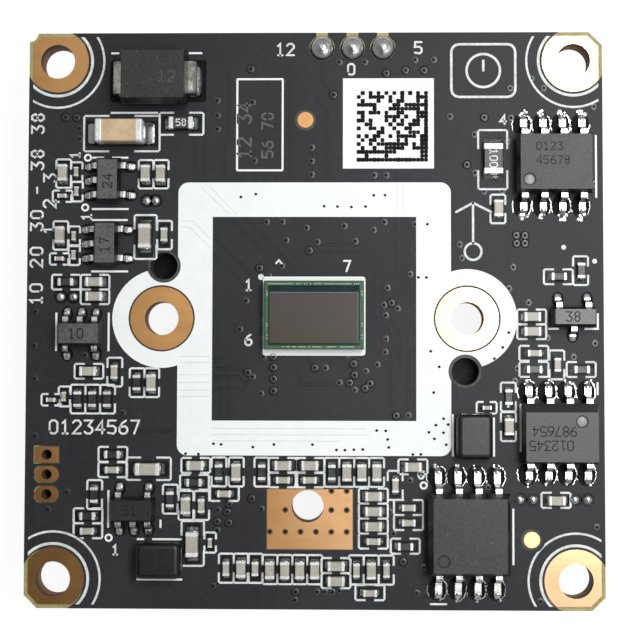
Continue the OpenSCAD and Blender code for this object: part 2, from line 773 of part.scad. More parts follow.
// Each lead leaves the middle of an end, turns down and folds back under the body.
module diode_leads() {
    t = diode_lead_t;
    o = diode_lead_out;
    z = diode_rise + t - stand;
    color("silver") place([diode_at], part_z) for (turn = [0, 180]) rotate(turn)
        translate([diode[0] / 2, 0, 0]) rotate([90, 0, 0]) linear_extrude(diode_lead_w, center = true)
            polygon([
                [0, z + t / 2], [o - t, z + t / 2], [o, z - t / 2], [o, t / 2], [o - t / 2, 0],
                [o - diode_foot, 0], [o - diode_foot, t], [o - t, t], [o - t, z - t / 2], [0, z - t / 2]
            ]);
}

// ---- Coils ----

coil_end_l = 0.6;
coil_end_t = 0.15;
coil_top_cut = 0.12;
module coil_cases() {
    color("#4a4b4c") place(coils_at, part_z + coil_end_t) {
        linear_extrude(coil[2] - coil_end_t - coil_top_cut) rounded_rect(coil[0], coil[1], coil_r);
        translate([0, 0, coil[2] - coil_end_t - coil_top_cut]) linear_extrude(coil_top_cut)
            rounded_rect(coil[0] - 2 * coil_top_cut, coil[1] - 2 * coil_top_cut, coil_r);
    }
}

module coil_ends() {
    color("silver") place(coils_at, part_z) for (x = [-1, 1])
        translate([x * (coil[0] - coil_end_l) / 2, 0, 0]) block([coil_end_l, coil[1] - 2 * coil_r, coil_end_t]);
}

// ---- Ceramic chips ----

module ceramic(size) {
    translate([0, 0, end_t]) block([size[0] - 2 * end_t, size[1] - 2 * end_t, size[2] - 2 * end_t]);
}

// The metal cap on each end of a chip, wrapped round the ceramic.
module chip_ends(size) {
    end_l = size[0] * end_share;
    difference() {
        for (x = [-1, 1]) translate([x * (size[0] - end_l) / 2, 0, 0]) block([end_l, size[1], size[2]]);
        ceramic(size);
    }
}

module large_capacitor_body() {
    color("#d8bf9c") place(cap_xl_at, part_z) ceramic(cap_xl);
}

module large_capacitor_ends() {
    color("silver") place(cap_xl_at, part_z) chip_ends(cap_xl);
}

module medium_capacitor_bodies() {
    color("#a09a8a") place(cap_l_at, part_z) ceramic(cap_l);
}

module medium_capacitor_ends() {
    color("silver") place(cap_l_at, part_z) chip_ends(cap_l);
}

module capacitor_bodies() {
    color("#a09a8a") place(cap_m_at, part_z) ceramic(cap_m);
}

module capacitor_ends() {
    color("silver") place(cap_m_at, part_z) chip_ends(cap_m);
}

module small_capacitor_bodies() {
    color("#8f8a80") place(cap_s_at, part_z) ceramic(cap_s);
}

module small_capacitor_ends() {
    color("silver") place(cap_s_at, part_z) chip_ends(cap_s);
}

module tiny_capacitor_bodies() {
    color("#8f8a80") place(cap_xs_at, part_z) ceramic(cap_xs);
}

module tiny_capacitor_ends() {
    color("silver") place(cap_xs_at, part_z) chip_ends(cap_xs);
}

module resistor_bodies() {
    color("#2c2d2f") place(res_m_at, part_z) ceramic(res_m);
}

module resistor_ends() {
    color("silver") place(res_m_at, part_z) chip_ends(res_m);
}

module marked_resistor_bodies() {
    color("#4a4844") {
        place(res_l_at, part_z) ceramic(res_l);
        place(res_xl_at, part_z) ceramic(res_xl);
    }
}

module marked_resistor_ends() {
    color("silver") {
        place(res_l_at, part_z) chip_ends(res_l);
        place(res_xl_at, part_z) chip_ends(res_xl);
    }
}

// ---- Solder ----

fillet_steps = 4;
// A land with solder on it, from x = 0 under a metal end of length l, and a hollow fillet
// of length f that climbs to height h on the end's face.
module joint(l, w, f, h) {
    rotate([90, 0, 0]) linear_extrude(w, center = true) polygon(concat(
        [[0, 0], [l + f, 0]],
        [for (k = [0 : fillet_steps]) let (a = 90 * k / fillet_steps)
            [l + f - f * sin(a), land_t / 2 + (h + land_t / 2) * (1 - cos(a))]],
        [[l, land_t], [0, land_t]]
    ));
}

module chip_joints(size, f) {
    end_l = size[0] * end_share;
    for (turn = [0, 180]) rotate(turn) translate([size[0] / 2 - end_l, 0, 0])
        joint(end_l, size[1], f, size[2] * fillet_share);
}

module chip_solder() {
    color("#c9c9c6") {
        for (c = chips) place(c[0], front_z) chip_joints(c[1], c[2]);
        place(coils_at, front_z) for (x = [-1, 1])
            translate([x * (coil[0] - coil_end_l) / 2, 0, 0])
                block([coil_end_l, coil[1] - 2 * coil_r, land_t]);
    }
}

// The joint under a lead's foot: foot_l of land, then a fillet past the toe.
foot_l = 0.5;
toe_fillet = 0.3;
module lead_joint(reach, w, t) {
    translate([reach - foot_l, 0, 0]) joint(foot_l, w + 0.1, toe_fillet, t);
}

module eight_joints(body_w, span) {
    for (side = [-1, 1], i = [0 : 3])
        translate([(i - 1.5) * lead_pitch, side * body_w / 2, 0]) rotate(side * 90)
            lead_joint((span - body_w) / 2, lead_w, lead_t);
}

module small_joints(spots, body_w, span) {
    for (s = spots) translate([s[0] * small_pitch, s[1] * body_w / 2, 0]) rotate(s[1] * 90)
        translate([(span - body_w) / 2 - 0.25, 0, 0]) joint(0.25, small_lead_w + 0.1, toe_fillet, small_lead_t);
}

module lead_solder() {
    color("#c9c9c6") {
        place([upper_driver_at, lower_driver_at], front_z) eight_joints(driver[1], driver_span);
        place([flash_at], front_z) eight_joints(flash[1], flash_span);
        place(regulators_at, front_z) small_joints(five_leads, regulator[1], regulator_span);
        place([transistor_at], front_z)
            small_joints(three_leads, transistor[1], transistor[1] + regulator_span - regulator[1]);
        place([diode_at], front_z) for (turn = [0, 180]) rotate(turn)
            translate([diode[0] / 2 + diode_lead_out - diode_foot, 0, 0])
                joint(diode_foot, diode_lead_w, toe_fillet, 2 * diode_lead_t);
    }
}

// A low dome of radius r and height h.
module dome(r, h) {
    ball = (r * r + h * h) / (2 * h);
    intersection() {
        translate([0, 0, h - ball]) sphere(ball);
        cylinder(r = r + over, h = h + over);
    }
}

module spare_pad_solder() {
    color("#c9c9c6") place(spare_lands_at, front_z) dome(spare_land_r, 0.12);
}

// The solder of a plug pin: a dome on the front, the filled bore, and a fillet on the back.
module plug_solder() {
    color("#c9c9c6") difference() {
        place(plug_at) {
            translate([0, 0, front_z - film_t]) dome(dome_r, dome_h);
            cylinder(d = plug_hole, h = front_z);
            cylinder(r = dome_r, h = film_t);
        }
        three_way_pins();
    }
}

// ---- Back parts ----

module three_way_pins() {
    color("goldenrod") place(plug_at, -plug_h + plug_wall)
        block([plug_pin, plug_pin, plug_h - plug_wall + front_z + pin_proud]);
}

// The box round the plug's pins, open away from the board, with a slot in its inner wall.
plug_floor = 1.2;
module plug_shell() {
    w = 2 * plug_pitch + 2 * plug_wall + 2.4;
    color("ivory") difference() {
        translate([plug_at[1][0] - w / 2, board_d / 2 - plug_depth, -plug_h]) cube([w, plug_depth, plug_h]);
        translate([plug_at[1][0] - w / 2 + plug_wall, board_d / 2 - plug_depth + plug_wall, -plug_h - over])
            cube([w - 2 * plug_wall, plug_depth - 1.4 * plug_wall, plug_h - plug_floor + over]);
        translate([plug_at[1][0] - plug_pitch / 2, board_d / 2 - plug_depth - over, -plug_h - over])
            cube([plug_pitch, plug_wall + 2 * over, plug_h - plug_floor + over]);
        three_way_pins();
    }
}

module wafer_pin_row() {
    for (i = [0 : wafer_ways - 1]) translate([(i - (wafer_ways - 1) / 2) * wafer_pitch, wafer_y, 0]) children();
}

// Each wafer pin stands in the shell and has a foot on the board that points inwards.
wafer_foot = 0.9;
module wafer_pins() {
    color("goldenrod") wafer_pin_row() {
        translate([0, 0, wafer_wall - plug_h]) block([wafer_pin, wafer_pin, plug_h - wafer_wall]);
        translate([-wafer_pin / 2, 0, -wafer_pin]) cube([wafer_pin, wafer_depth / 2 + wafer_foot, wafer_pin]);
    }
}

// The pins of both plugs: those of the three-way plug go through the board.
module plug_pins() {
    three_way_pins();
    wafer_pins();
}

module wafer_shell() {
    w = wafer_ways * wafer_pitch + 2 * wafer_wall + 0.6;
    color("ivory") difference() {
        translate([-w / 2, wafer_y - wafer_depth / 2, -plug_h]) cube([w, wafer_depth, plug_h]);
        translate([wafer_wall - w / 2, wafer_y - wafer_depth / 2 + wafer_wall, -plug_h - over])
            cube([w - 2 * wafer_wall, wafer_depth - 2 * wafer_wall, plug_h - plug_floor + over]);
        wafer_pins();
    }
}

back_ball_h = 0.3;
module processor_body() {
    color("#2b2c2e") place([processor_at], -back_ball_h - processor_t)
        block([processor, processor, processor_t]);
}

module memory_body() {
    color("#2b2c2e") place([memory_at], -back_ball_h - processor_t)
        block([memory[0], memory[1], processor_t]);
}

// The memory's balls stand in three columns on each side of a bare channel.
memory_channel = 3.2;
module back_balls() {
    n = floor((processor - 1) / back_ball_pitch) + 1;
    rows = floor((memory[1] - 1) / back_ball_pitch) + 1;
    color("silver") {
        place([processor_at], -back_ball_h) balls(n, n, back_ball_pitch, 2, 0.22, back_ball_h);
        place([memory_at], -back_ball_h) for (x = [-1, 1])
            translate([x * (memory_channel / 2 + back_ball_pitch), 0, 0])
                balls(3, rows, back_ball_pitch, 2, 0.22, back_ball_h);
    }
}

network_ways = 6;
module network_body() {
    color("#2b2c2e") place([network_at], -land_t) rotate([180, 0, 0])
        moulded(network[0], network[1], network_h, driver_rise, lead_t);
}

module network_leads() {
    color("silver") place([network_at], -land_t) rotate([180, 0, 0])
        lead_rows(network_ways, network[1], network_span, driver_rise);
}

// The lands of the network transformer, each as long as a foot.
module network_lands() {
    color("#c9c9c6") place([network_at], -land_t)
        for (side = [-1, 1], i = [0 : network_ways - 1])
            translate([(i - (network_ways - 1) / 2) * lead_pitch, side * (network_span - foot_l) / 2, 0])
                block([lead_w + 0.1, foot_l, land_t]);
}

module crystal() {
    color("silver") place([crystal_at], -crystal_size[2]) block(crystal_size);
}

core();
front_mask();
back_mask();
corner_pads();
lens_screw_pads();
earth_pad();
fiducials();
spare_header_pads();
lens_frame_print();
corner_ring_print();
label_print();
chip_outline_print();
part_outline_print();
sensor_balls();
sensor_die();
sensor_pixels();
sensor_dam();
sensor_glass();
upper_driver_body();
upper_driver_leads();
lower_driver_body();
lower_driver_leads();
flash_body();
flash_leads();
regulator_bodies();
regulator_leads();
transistor_body();
transistor_leads();
diode_body();
diode_leads();
coil_cases();
coil_ends();
large_capacitor_body();
large_capacitor_ends();
medium_capacitor_bodies();
medium_capacitor_ends();
capacitor_bodies();
capacitor_ends();
small_capacitor_bodies();
small_capacitor_ends();
tiny_capacitor_bodies();
tiny_capacitor_ends();
resistor_bodies();
resistor_ends();
marked_resistor_bodies();
marked_resistor_ends();
chip_solder();
lead_solder();
spare_pad_solder();
plug_solder();
plug_pins();
plug_shell();
wafer_shell();
processor_body();
memory_body();
back_balls();
network_body();
network_leads();
network_lands();
crystal();
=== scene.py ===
"""Finishes a packed camera module: materials, joints, relief, print and a studio stage."""
import math
import random

import bpy
from mathutils import Euler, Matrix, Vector


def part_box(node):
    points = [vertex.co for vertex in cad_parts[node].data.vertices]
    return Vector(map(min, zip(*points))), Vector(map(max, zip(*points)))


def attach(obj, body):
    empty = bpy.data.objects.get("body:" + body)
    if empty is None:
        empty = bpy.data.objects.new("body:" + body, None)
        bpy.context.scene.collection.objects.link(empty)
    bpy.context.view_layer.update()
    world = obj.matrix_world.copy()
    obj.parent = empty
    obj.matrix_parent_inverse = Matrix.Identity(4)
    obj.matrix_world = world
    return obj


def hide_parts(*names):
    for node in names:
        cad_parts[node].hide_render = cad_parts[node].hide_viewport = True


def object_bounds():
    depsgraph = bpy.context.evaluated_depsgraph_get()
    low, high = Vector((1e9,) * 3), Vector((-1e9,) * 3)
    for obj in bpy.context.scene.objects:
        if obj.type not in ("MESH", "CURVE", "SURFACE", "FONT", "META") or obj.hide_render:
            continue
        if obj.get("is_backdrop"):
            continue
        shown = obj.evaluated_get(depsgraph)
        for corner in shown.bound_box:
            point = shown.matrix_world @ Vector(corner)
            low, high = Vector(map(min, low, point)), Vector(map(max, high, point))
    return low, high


bl_info = {
    "name": "Camera Module Finish",
    "version": (1, 0, 0),
    "blender": (4, 5, 0),
    "location": "3D View > Sidebar > Camera Module",
    "description": "Dresses a bare camera board with materials, solder, vias and print",
    "category": "Object",
}

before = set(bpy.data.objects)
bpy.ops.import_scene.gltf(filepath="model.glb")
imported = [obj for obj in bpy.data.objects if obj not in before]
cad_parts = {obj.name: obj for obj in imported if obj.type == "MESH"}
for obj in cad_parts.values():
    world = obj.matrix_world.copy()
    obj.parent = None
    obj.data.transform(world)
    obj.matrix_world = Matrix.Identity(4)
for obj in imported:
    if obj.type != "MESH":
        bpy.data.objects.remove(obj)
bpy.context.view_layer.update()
MM = 0.001


# ---- Sizes taken from the frame, in millimetres ----

def node_box(name):
    """Two corners of a CAD node's box."""
    low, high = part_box(name)
    return low / MM, high / MM


def middle_of(low, high):
    """The middle of a box, in plan."""
    return (low.x + high.x) / 2, (low.y + high.y) / 2


FRONT_Z = node_box("front_mask")[1].z
PRINT_Z = node_box("lens_frame_print")[1].z
PRINT_T = 0.02
BOARD_LOW, BOARD_HIGH = node_box("core")


def islands(name):
    """The box of each separate solid of a CAD node, as pairs of corners."""
    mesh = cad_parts[name].data
    parent = {}
    keys = [tuple(round(c * 1e6) for c in v.co) for v in mesh.vertices]

    def root(k):
        while parent[k] != k:
            parent[k] = parent[parent[k]]
            k = parent[k]
        return k

    for k in keys:
        parent.setdefault(k, k)
    for edge in mesh.edges:
        a, b = (root(keys[i]) for i in edge.vertices)
        parent[a] = b
    groups = {}
    for k, v in zip(keys, mesh.vertices):
        groups.setdefault(root(k), []).append(v.co / MM)
    boxes = []
    for points in groups.values():
        low = Vector([min(p[i] for p in points) for i in range(3)])
        high = Vector([max(p[i] for p in points) for i in range(3)])
        boxes.append((low, high))
    return sorted(boxes, key=lambda b: tuple(round(c, 3) for c in b[0]))


# ---- Shader expressions ----

def rgb(code):
    """A hex colour as linear red, green, blue and alpha."""
    parts = [int(code[i:i + 2], 16) / 255 for i in (1, 3, 5)]
    return [p / 12.92 if p <= 0.04045 else ((p + 0.055) / 1.055) ** 2.4 for p in parts] + [1.0]


class Number:
    """A number socket in an expression; each operator adds a Math node."""

    def __init__(self, tree, socket):
        self.tree = tree
        self.socket = socket

    def __add__(self, other):
        return self.tree.math("ADD", self, other)

    def __sub__(self, other):
        return self.tree.math("SUBTRACT", self, other)

    def __rsub__(self, other):
        return self.tree.math("SUBTRACT", other, self)

    def __mul__(self, other):
        return self.tree.math("MULTIPLY", self, other)

    __radd__ = __add__
    __rmul__ = __mul__


# Sockets for colours of a Mix node, whose names are also those of its numbers and vectors.
MIX_A = 6
MIX_B = 7
MIX_RESULT = 2


class Tree:
    """Nodes of one material or world, added in one way."""

    def __init__(self, owner):
        owner.use_nodes = True
        self.nodes = owner.node_tree.nodes
        self.links = owner.node_tree.links

    def node(self, kind, settings=None, **sockets):
        """Adds a node: its settings first, then values or links of its inputs by name."""
        made = self.nodes.new(kind)
        for key, value in (settings or {}).items():
            setattr(made, key, value)
        for key, value in sockets.items():
            self.feed(made.inputs[key.replace("_", " ")], value)
        return made

    def feed(self, socket, value):
        """Links a socket or a Number, or sets a plain value."""
        if isinstance(value, Number):
            value = value.socket
        if isinstance(value, bpy.types.NodeSocket):
            self.links.new(value, socket)
        else:
            socket.default_value = value

    def math(self, operation, *values):
        """A Math node's result."""
        made = self.node("ShaderNodeMath", {"operation": operation})
        for socket, value in zip(made.inputs, values):
            self.feed(socket, value)
        return Number(self, made.outputs[0])

    def clamp(self, value, low, high):
        """value as a share of the way from low to high, held between 0 and 1."""
        made = self.node("ShaderNodeMapRange", Value=value, From_Min=low, From_Max=high)
        return Number(self, made.outputs[0])

    def place(self):
        """The place on the object, in metres."""
        return self.node("ShaderNodeTexCoord").outputs["Object"]

    def noise(self, scale, detail=2.0, vector=None):
        """Soft clouds, as a number round a half."""
        made = self.node(
            "ShaderNodeTexNoise", Vector=vector or self.place(), Scale=scale, Detail=detail)
        return Number(self, made.outputs["Fac"])

    def mix(self, share, a, b):
        """A colour between a and b."""
        made = self.node("ShaderNodeMix", {"data_type": "RGBA"}, Factor=share)
        self.feed(made.inputs[MIX_A], a)
        self.feed(made.inputs[MIX_B], b)
        return made.outputs[MIX_RESULT]

    def axes(self, vector=None):
        """The x, y and z of a vector; without one, of the place."""
        made = self.node("ShaderNodeSeparateXYZ", Vector=vector or self.place())
        return [Number(self, s) for s in made.outputs]

    def upward(self, low, high):
        """How much a surface faces up, as a share of the way from low to high."""
        normal = self.node("ShaderNodeTexCoord").outputs["Normal"]
        return self.clamp(self.axes(normal)[2], low, high)

    def bump(self, height, strength, distance):
        """A normal that follows a height."""
        made = self.node("ShaderNodeBump", Height=height, Strength=strength, Distance=distance)
        return made.outputs[0]


class Finish(Tree):
    """One material with a Principled shader."""

    def __init__(self, name):
        self.material = bpy.data.materials.new(name)
        super().__init__(self.material)
        self.shader = self.nodes["Principled BSDF"]

    def set(self, **sockets):
        """Values or links of the shader's inputs, by name."""
        for key, value in sockets.items():
            self.feed(self.shader.inputs[key.replace("_", " ")], value)
        return self


MATERIALS = {}


def finish(name):
    """The named material, made on first use."""
    if name not in MATERIALS:
        MATERIALS[name] = RECIPES[name](Finish(name)).material
    return MATERIALS[name]


def speckled(f, dark, light, scale, rough, metal=0.0, bump=0.0, fine=4.0, level=0.5):
    """Two tones in soft clouds with a fine grain; roughness follows the clouds."""
    clouds = f.noise(scale, 4.0)
    grain = f.noise(scale * fine, 2.0)
    tone = f.clamp(clouds * 0.65 + grain * 0.35, 0.36, 0.64)
    f.set(
        Base_Color=f.mix(tone, rgb(dark), rgb(light)),
        Roughness=tone * (rough[1] - rough[0]) + rough[0],
        Metallic=metal, Specular_IOR_Level=level,
    )
    if bump:
        f.set(Normal=f.bump(grain * 0.6 + clouds * 0.4, bump, 0.00004))
    return f


def bright_metal(f, *values):
    """Mottled metal, with a painted dark reflection that darkens it where it slopes."""
    speckled(f, *values)
    mottled = f.shader.inputs["Base Color"].links[0].from_socket
    # Painted dark reflection: faces that slope are mixed towards dark grey.
    return f.set(Base_Color=f.mix(f.upward(0.35, 0.9), rgb("#2c2c2c"), mottled))


def mask_tone(f, share):
    """The solder mask's colour, from its dark tone to its pale one."""
    return f.mix(share, rgb("#2a2c2e"), rgb("#36383a"))


def solder_mask(f):
    """Matt black mask over a faint relief of copper."""
    clouds = f.noise(90.0, 5.0)
    grain = f.noise(2600.0, 3.0)
    copper = f.noise(230.0, 2.0)
    tone = f.clamp(clouds * 0.7 + grain * 0.3, 0.35, 0.65)
    return f.set(
        Base_Color=mask_tone(f, tone), Roughness=tone * 0.1 + 0.4,
        Specular_IOR_Level=0.16, Normal=f.bump(grain * 0.5 + copper * 0.5, 0.2, 0.00003),
    )


def relief_mask(f):
    """The same mask where it runs glossy over the rim of a via."""
    clouds = f.noise(90.0, 5.0)
    return f.set(
        Base_Color=mask_tone(f, f.clamp(clouds, 0.35, 0.65)),
        Roughness=f.noise(900.0) * 0.1 + 0.22, Specular_IOR_Level=0.5,
    )


def laminate(f):
    """Glass-filled resin: pale along the board's edge, darkened by painted shade inside holes and gaps."""
    x, y, _ = f.axes()
    weave = f.noise(700.0, 4.0) * 0.6 + f.noise(4000.0, 2.0) * 0.4
    tone = f.clamp(weave, 0.4, 0.6)
    reach = f.math("MAXIMUM", f.math("ABSOLUTE", x), f.math("ABSOLUTE", y))
    edge = f.clamp(reach, (BOARD_HIGH.x - 1.1) * MM, (BOARD_HIGH.x - 0.8) * MM)
    pale = f.mix(tone, rgb("#998e5c"), rgb("#b3a873"))
    # Painted shade: away from the board's edge the laminate is made dark, inside holes and gaps.
    shaded_inside = f.mix(tone, rgb("#35352d"), rgb("#4f5045"))
    return f.set(
        Base_Color=f.mix(edge, shaded_inside, pale), Roughness=f.noise(1500.0) * 0.25 + 0.45,
        Normal=f.bump(weave, 0.25, 0.00003),
    )


def bare_copper(f):
    """Copper with brushed streaks, paler to the right as painted light and darker at the lower left as
    painted shade; the walls of its holes are brown, with painted shade darkest near the front face.
    """
    x, y, z = f.axes()
    grain = f.node(
        "ShaderNodeMapping", Vector=f.place(), Scale=(300.0, 2600.0, 300.0)).outputs[0]
    streaks = f.noise(1.0, 3.0, vector=grain)
    clouds = f.noise(260.0, 4.0)
    tone = f.clamp(clouds * 0.75 + streaks * 0.25, 0.35, 0.65)
    face = f.upward(0.4, 0.9) + f.upward(-0.4, -0.9)
    # Painted shade on the walls of the holes: darkest near the front face, paler towards the back.
    depth = f.clamp(z, FRONT_Z * MM * 0.95, FRONT_Z * MM * 0.4)
    shaded_wall = f.mix(depth, rgb("#2b1a11"), rgb("#87664c"))
    # Painted light: the copper turns paler from left to right.
    lit_copper = f.mix(tone, rgb("#d4a068"), rgb("#e8ba8c"))
    shaded_copper = f.mix(tone, rgb("#cd9048"), rgb("#e0a662"))
    bright = f.mix(f.clamp(x, -0.004, 0.012), shaded_copper, lit_copper)
    # Painted shade darkens the copper at the lower left.
    lower_left_shade = f.clamp(y, -0.0105, -0.0115) * (
        f.clamp(x, -0.008, -0.012) * 0.1 + f.clamp(x, 0.008, 0.004) * 0.12)
    return f.set(
        Base_Color=f.mix(face, shaded_wall, f.mix(lower_left_shade, bright, rgb("#3a2216"))), Metallic=face,
        Roughness=clouds * 0.14 + 0.74 - face * 0.5, Normal=f.bump(streaks, 0.1, 0.00002),
        Coat_Weight=f.clamp(x, -0.008, 0.012) * 0.35 * face + face * 0.6, Coat_Roughness=0.25,
        Coat_IOR=1.8,
    )


def moulding(f, dark, light, level, shade=0.0):
    """Filled epoxy: a fine grain and a few pale specks on top, and sides darkened by painted shade.

    A shade above 0 darkens the bodies near the board's lower edge by that share, as painted shade.
    """
    clouds = f.noise(500.0, 3.0)
    grain = f.noise(6000.0, 2.0)
    tone = f.clamp(clouds * 0.3 + grain * 0.7, 0.36, 0.64)
    specks = f.clamp(f.noise(5200.0, 1.0), 0.7, 0.76)
    top = f.mix(specks * 0.2, f.mix(tone, rgb(dark), rgb(light)), rgb("#a0a09e"))
    if shade:
        y = f.axes()[1]
        # Painted shade towards the board's lower edge.
        top = f.mix(f.clamp(y, -0.009, -0.011) * shade, top, rgb("#050506"))
    # Painted shade: faces that do not face up are made near black.
    face = f.upward(0.6, 0.95)
    return f.set(
        Base_Color=f.mix(face, rgb("#050506"), top),
        Roughness=tone * 0.1 + 0.4, Specular_IOR_Level=level, Normal=f.bump(grain, 0.4, 0.00002),
    )


def coil_case(f):
    """Pressed powder: pale in the middle, with painted shade on the rounded edges and on the coil at the
    left, which is darker.
    """
    grain = f.noise(2500.0, 4.0)
    # Painted shade: the coil left of the middle gets darker tones.
    side = f.clamp(f.axes()[0], -0.002, 0.002)
    low = f.mix(side, rgb("#08090a"), rgb("#191a1c"))
    high = f.mix(side, rgb("#0e0f10"), rgb("#252629"))
    top = f.mix(f.clamp(grain, 0.36, 0.64), low, high)
    # Painted shade on the rounded edges: faces that do not face up are made near black.
    return f.set(
        Base_Color=f.mix(f.upward(0.75, 1.0), rgb("#060607"), top),
        Roughness=grain * 0.2 + 0.3, Normal=f.bump(grain, 0.2, 0.00004),
    )


def pixel_field(f):
    """The sensor's field that feels the light: its brown shifts a little between its corners, as a painted
    iridescent sheen.
    """
    x, y, _ = f.axes()
    down = f.clamp(y, -0.0018, 0.0018)
    across = f.clamp(x, -0.003, 0.003)
    # Painted iridescent sheen: the colour shifts between the field's corners.
    low = f.mix(across, rgb("#62543a"), rgb("#565844"))
    high = f.mix(across, rgb("#5e5157"), rgb("#63504f"))
    fine = f.noise(9000.0, 1.0)
    colour = f.mix(down, low, high)
    return f.set(
        Base_Color=f.mix(fine * 0.25, colour, rgb("#4a4040")), Roughness=down * 0.1 + 0.3,
        Specular_IOR_Level=0.6,
    )


def cover_glass(f):
    """Thin glass, as a clear skin with a polished face."""
    return f.set(
        Base_Color=f.mix(f.noise(400.0), rgb("#0c1212"), rgb("#131a1a")),
        Roughness=f.noise(300.0) * 0.02 + 0.02, Alpha=0.14,
    )


# dark, light, scale of the clouds, roughness, metal, bump, fineness of the grain, specular level
SPECKLED = {
    "dull_copper": ("#5a3a1c", "#7a5228", 1500.0, (0.4, 0.6)),
    "white_print": ("#f4f7f6", "#fafcfb", 700.0, (0.5, 0.62), 0.0, 0.1),
    "worn_print": ("#cbcfce", "#f2f5f4", 1600.0, (0.5, 0.65), 0.0, 0.25),
    "print_shade": ("#d3d9d6", "#e2e7e4", 900.0, (0.5, 0.6)),
    "dim_print": ("#4b4d4e", "#626465", 1600.0, (0.5, 0.65)),
    "hole_dark": ("#060707", "#101111", 1500.0, (0.5, 0.7), 0.0, 0.0, 4.0, 0.15),
    "trace_edge": ("#191b1d", "#26282a", 1200.0, (0.4, 0.5), 0.0, 0.0, 4.0, 0.2),
    # Near-black films round the joints: partly flux residue, partly painted shade and painted dark
    # reflection.
    "flux_and_shade": ("#0a0a0b", "#18191a", 1300.0, (0.5, 0.7), 0.0, 0.3, 4.0, 0.1),
    "thin_flux_and_shade": ("#020202", "#17181a", 1500.0, (0.3, 0.6), 0.0, 0.4, 3.0, 0.25),
    # A darker copy of the solder for steep fillets and rims, as a painted dark reflection.
    "fillet": ("#8d8d8a", "#c9c9c5", 1800.0, (0.12, 0.24), 0.95, 0.5, 3.0),
    "dull_tin": ("#5f5f54", "#d2d2c8", 1100.0, (0.2, 0.4), 0.9, 0.9, 2.0),
    "chip_end": ("#e2e2de", "#fbfbf8", 1300.0, (0.2, 0.34), 0.3, 0.25),
    "silicon": ("#08222a", "#0f2f38", 2500.0, (0.2, 0.3), 0.0, 0.0, 4.0, 0.3),
    "sensor_frame": ("#3c6f42", "#548b58", 3000.0, (0.35, 0.5)),
    "dam_edge": ("#143a1c", "#1d4a26", 3000.0, (0.35, 0.5)),
    "field_edge": ("#8ea3a3", "#a5b6b4", 3000.0, (0.3, 0.4)),
    "bond_dot": ("#bfe0bb", "#e6f5e2", 5000.0, (0.3, 0.4)),
    "tan_ceramic": ("#c6ab85", "#d8c09c", 800.0, (0.38, 0.5), 0.0, 0.15),
    "grey_ceramic": ("#a8a497", "#bcb8ac", 1500.0, (0.34, 0.46), 0.0, 0.15),
    "resistor_coat": ("#26272a", "#38393c", 1500.0, (0.25, 0.4)),
    "marked_coat": ("#343436", "#454547", 1500.0, (0.3, 0.42)),
    # The pale grey of a first-lead recess's floor is a painted highlight.
    "pin_mark_highlight": ("#8f908f", "#a3a4a3", 3000.0, (0.3, 0.4)),
    "crystal_can": ("#b4b4b0", "#cacac6", 900.0, (0.25, 0.35), 1.0, 0.2),
    "plated_pin": ("#c9a250", "#ddb964", 1200.0, (0.2, 0.3), 1.0),
    "plug_plastic": ("#e0d9c4", "#ece6d4", 600.0, (0.4, 0.5), 0.0, 0.15),
    "laser_mark": ("#3d3e3e", "#4b4c4c", 4000.0, (0.45, 0.55)),
    "burnt_mark": ("#141515", "#1d1e1e", 4000.0, (0.5, 0.6), 0.0, 0.0, 4.0, 0.3),
}

# The same values.
MOTTLED = {
    "solder": ("#cfcfcd", "#ededeb", 1100.0, (0.12, 0.28), 0.9, 0.8, 3.0),
    "tinned_metal": ("#d4d4d0", "#ecece8", 1500.0, (0.2, 0.34), 0.95, 0.9, 2.0),
}

# dark, light, specular level, share of painted shade near the board's lower edge
MOULDED = {
    "moulded_black": ("#1b1c1c", "#333434", 0.5),
    "small_mould": ("#363737", "#4d4e4e", 0.55, 0.85),
    "regulator_mould": ("#434444", "#5f6060", 0.55, 0.92),
    "transistor_mould": ("#5a5b5b", "#787979", 0.55),
    "flash_mould": ("#1d1e1e", "#353636", 0.5),
    "diode_black": ("#1f2020", "#2c2d2d", 0.5),
    "back_mould": ("#0f1010", "#181919", 0.12),
}

RECIPES = {
    "solder_mask": solder_mask,
    "relief_mask": relief_mask,
    "laminate": laminate,
    "copper": bare_copper,
    "pixel_field": pixel_field,
    "cover_glass": cover_glass,
    "coil_case": coil_case,
}
for recipe, table in ((speckled, SPECKLED), (bright_metal, MOTTLED), (moulding, MOULDED)):
    for name, row in table.items():
        RECIPES[name] = lambda f, recipe=recipe, row=row: recipe(f, *row)


# ---- Meshes ----

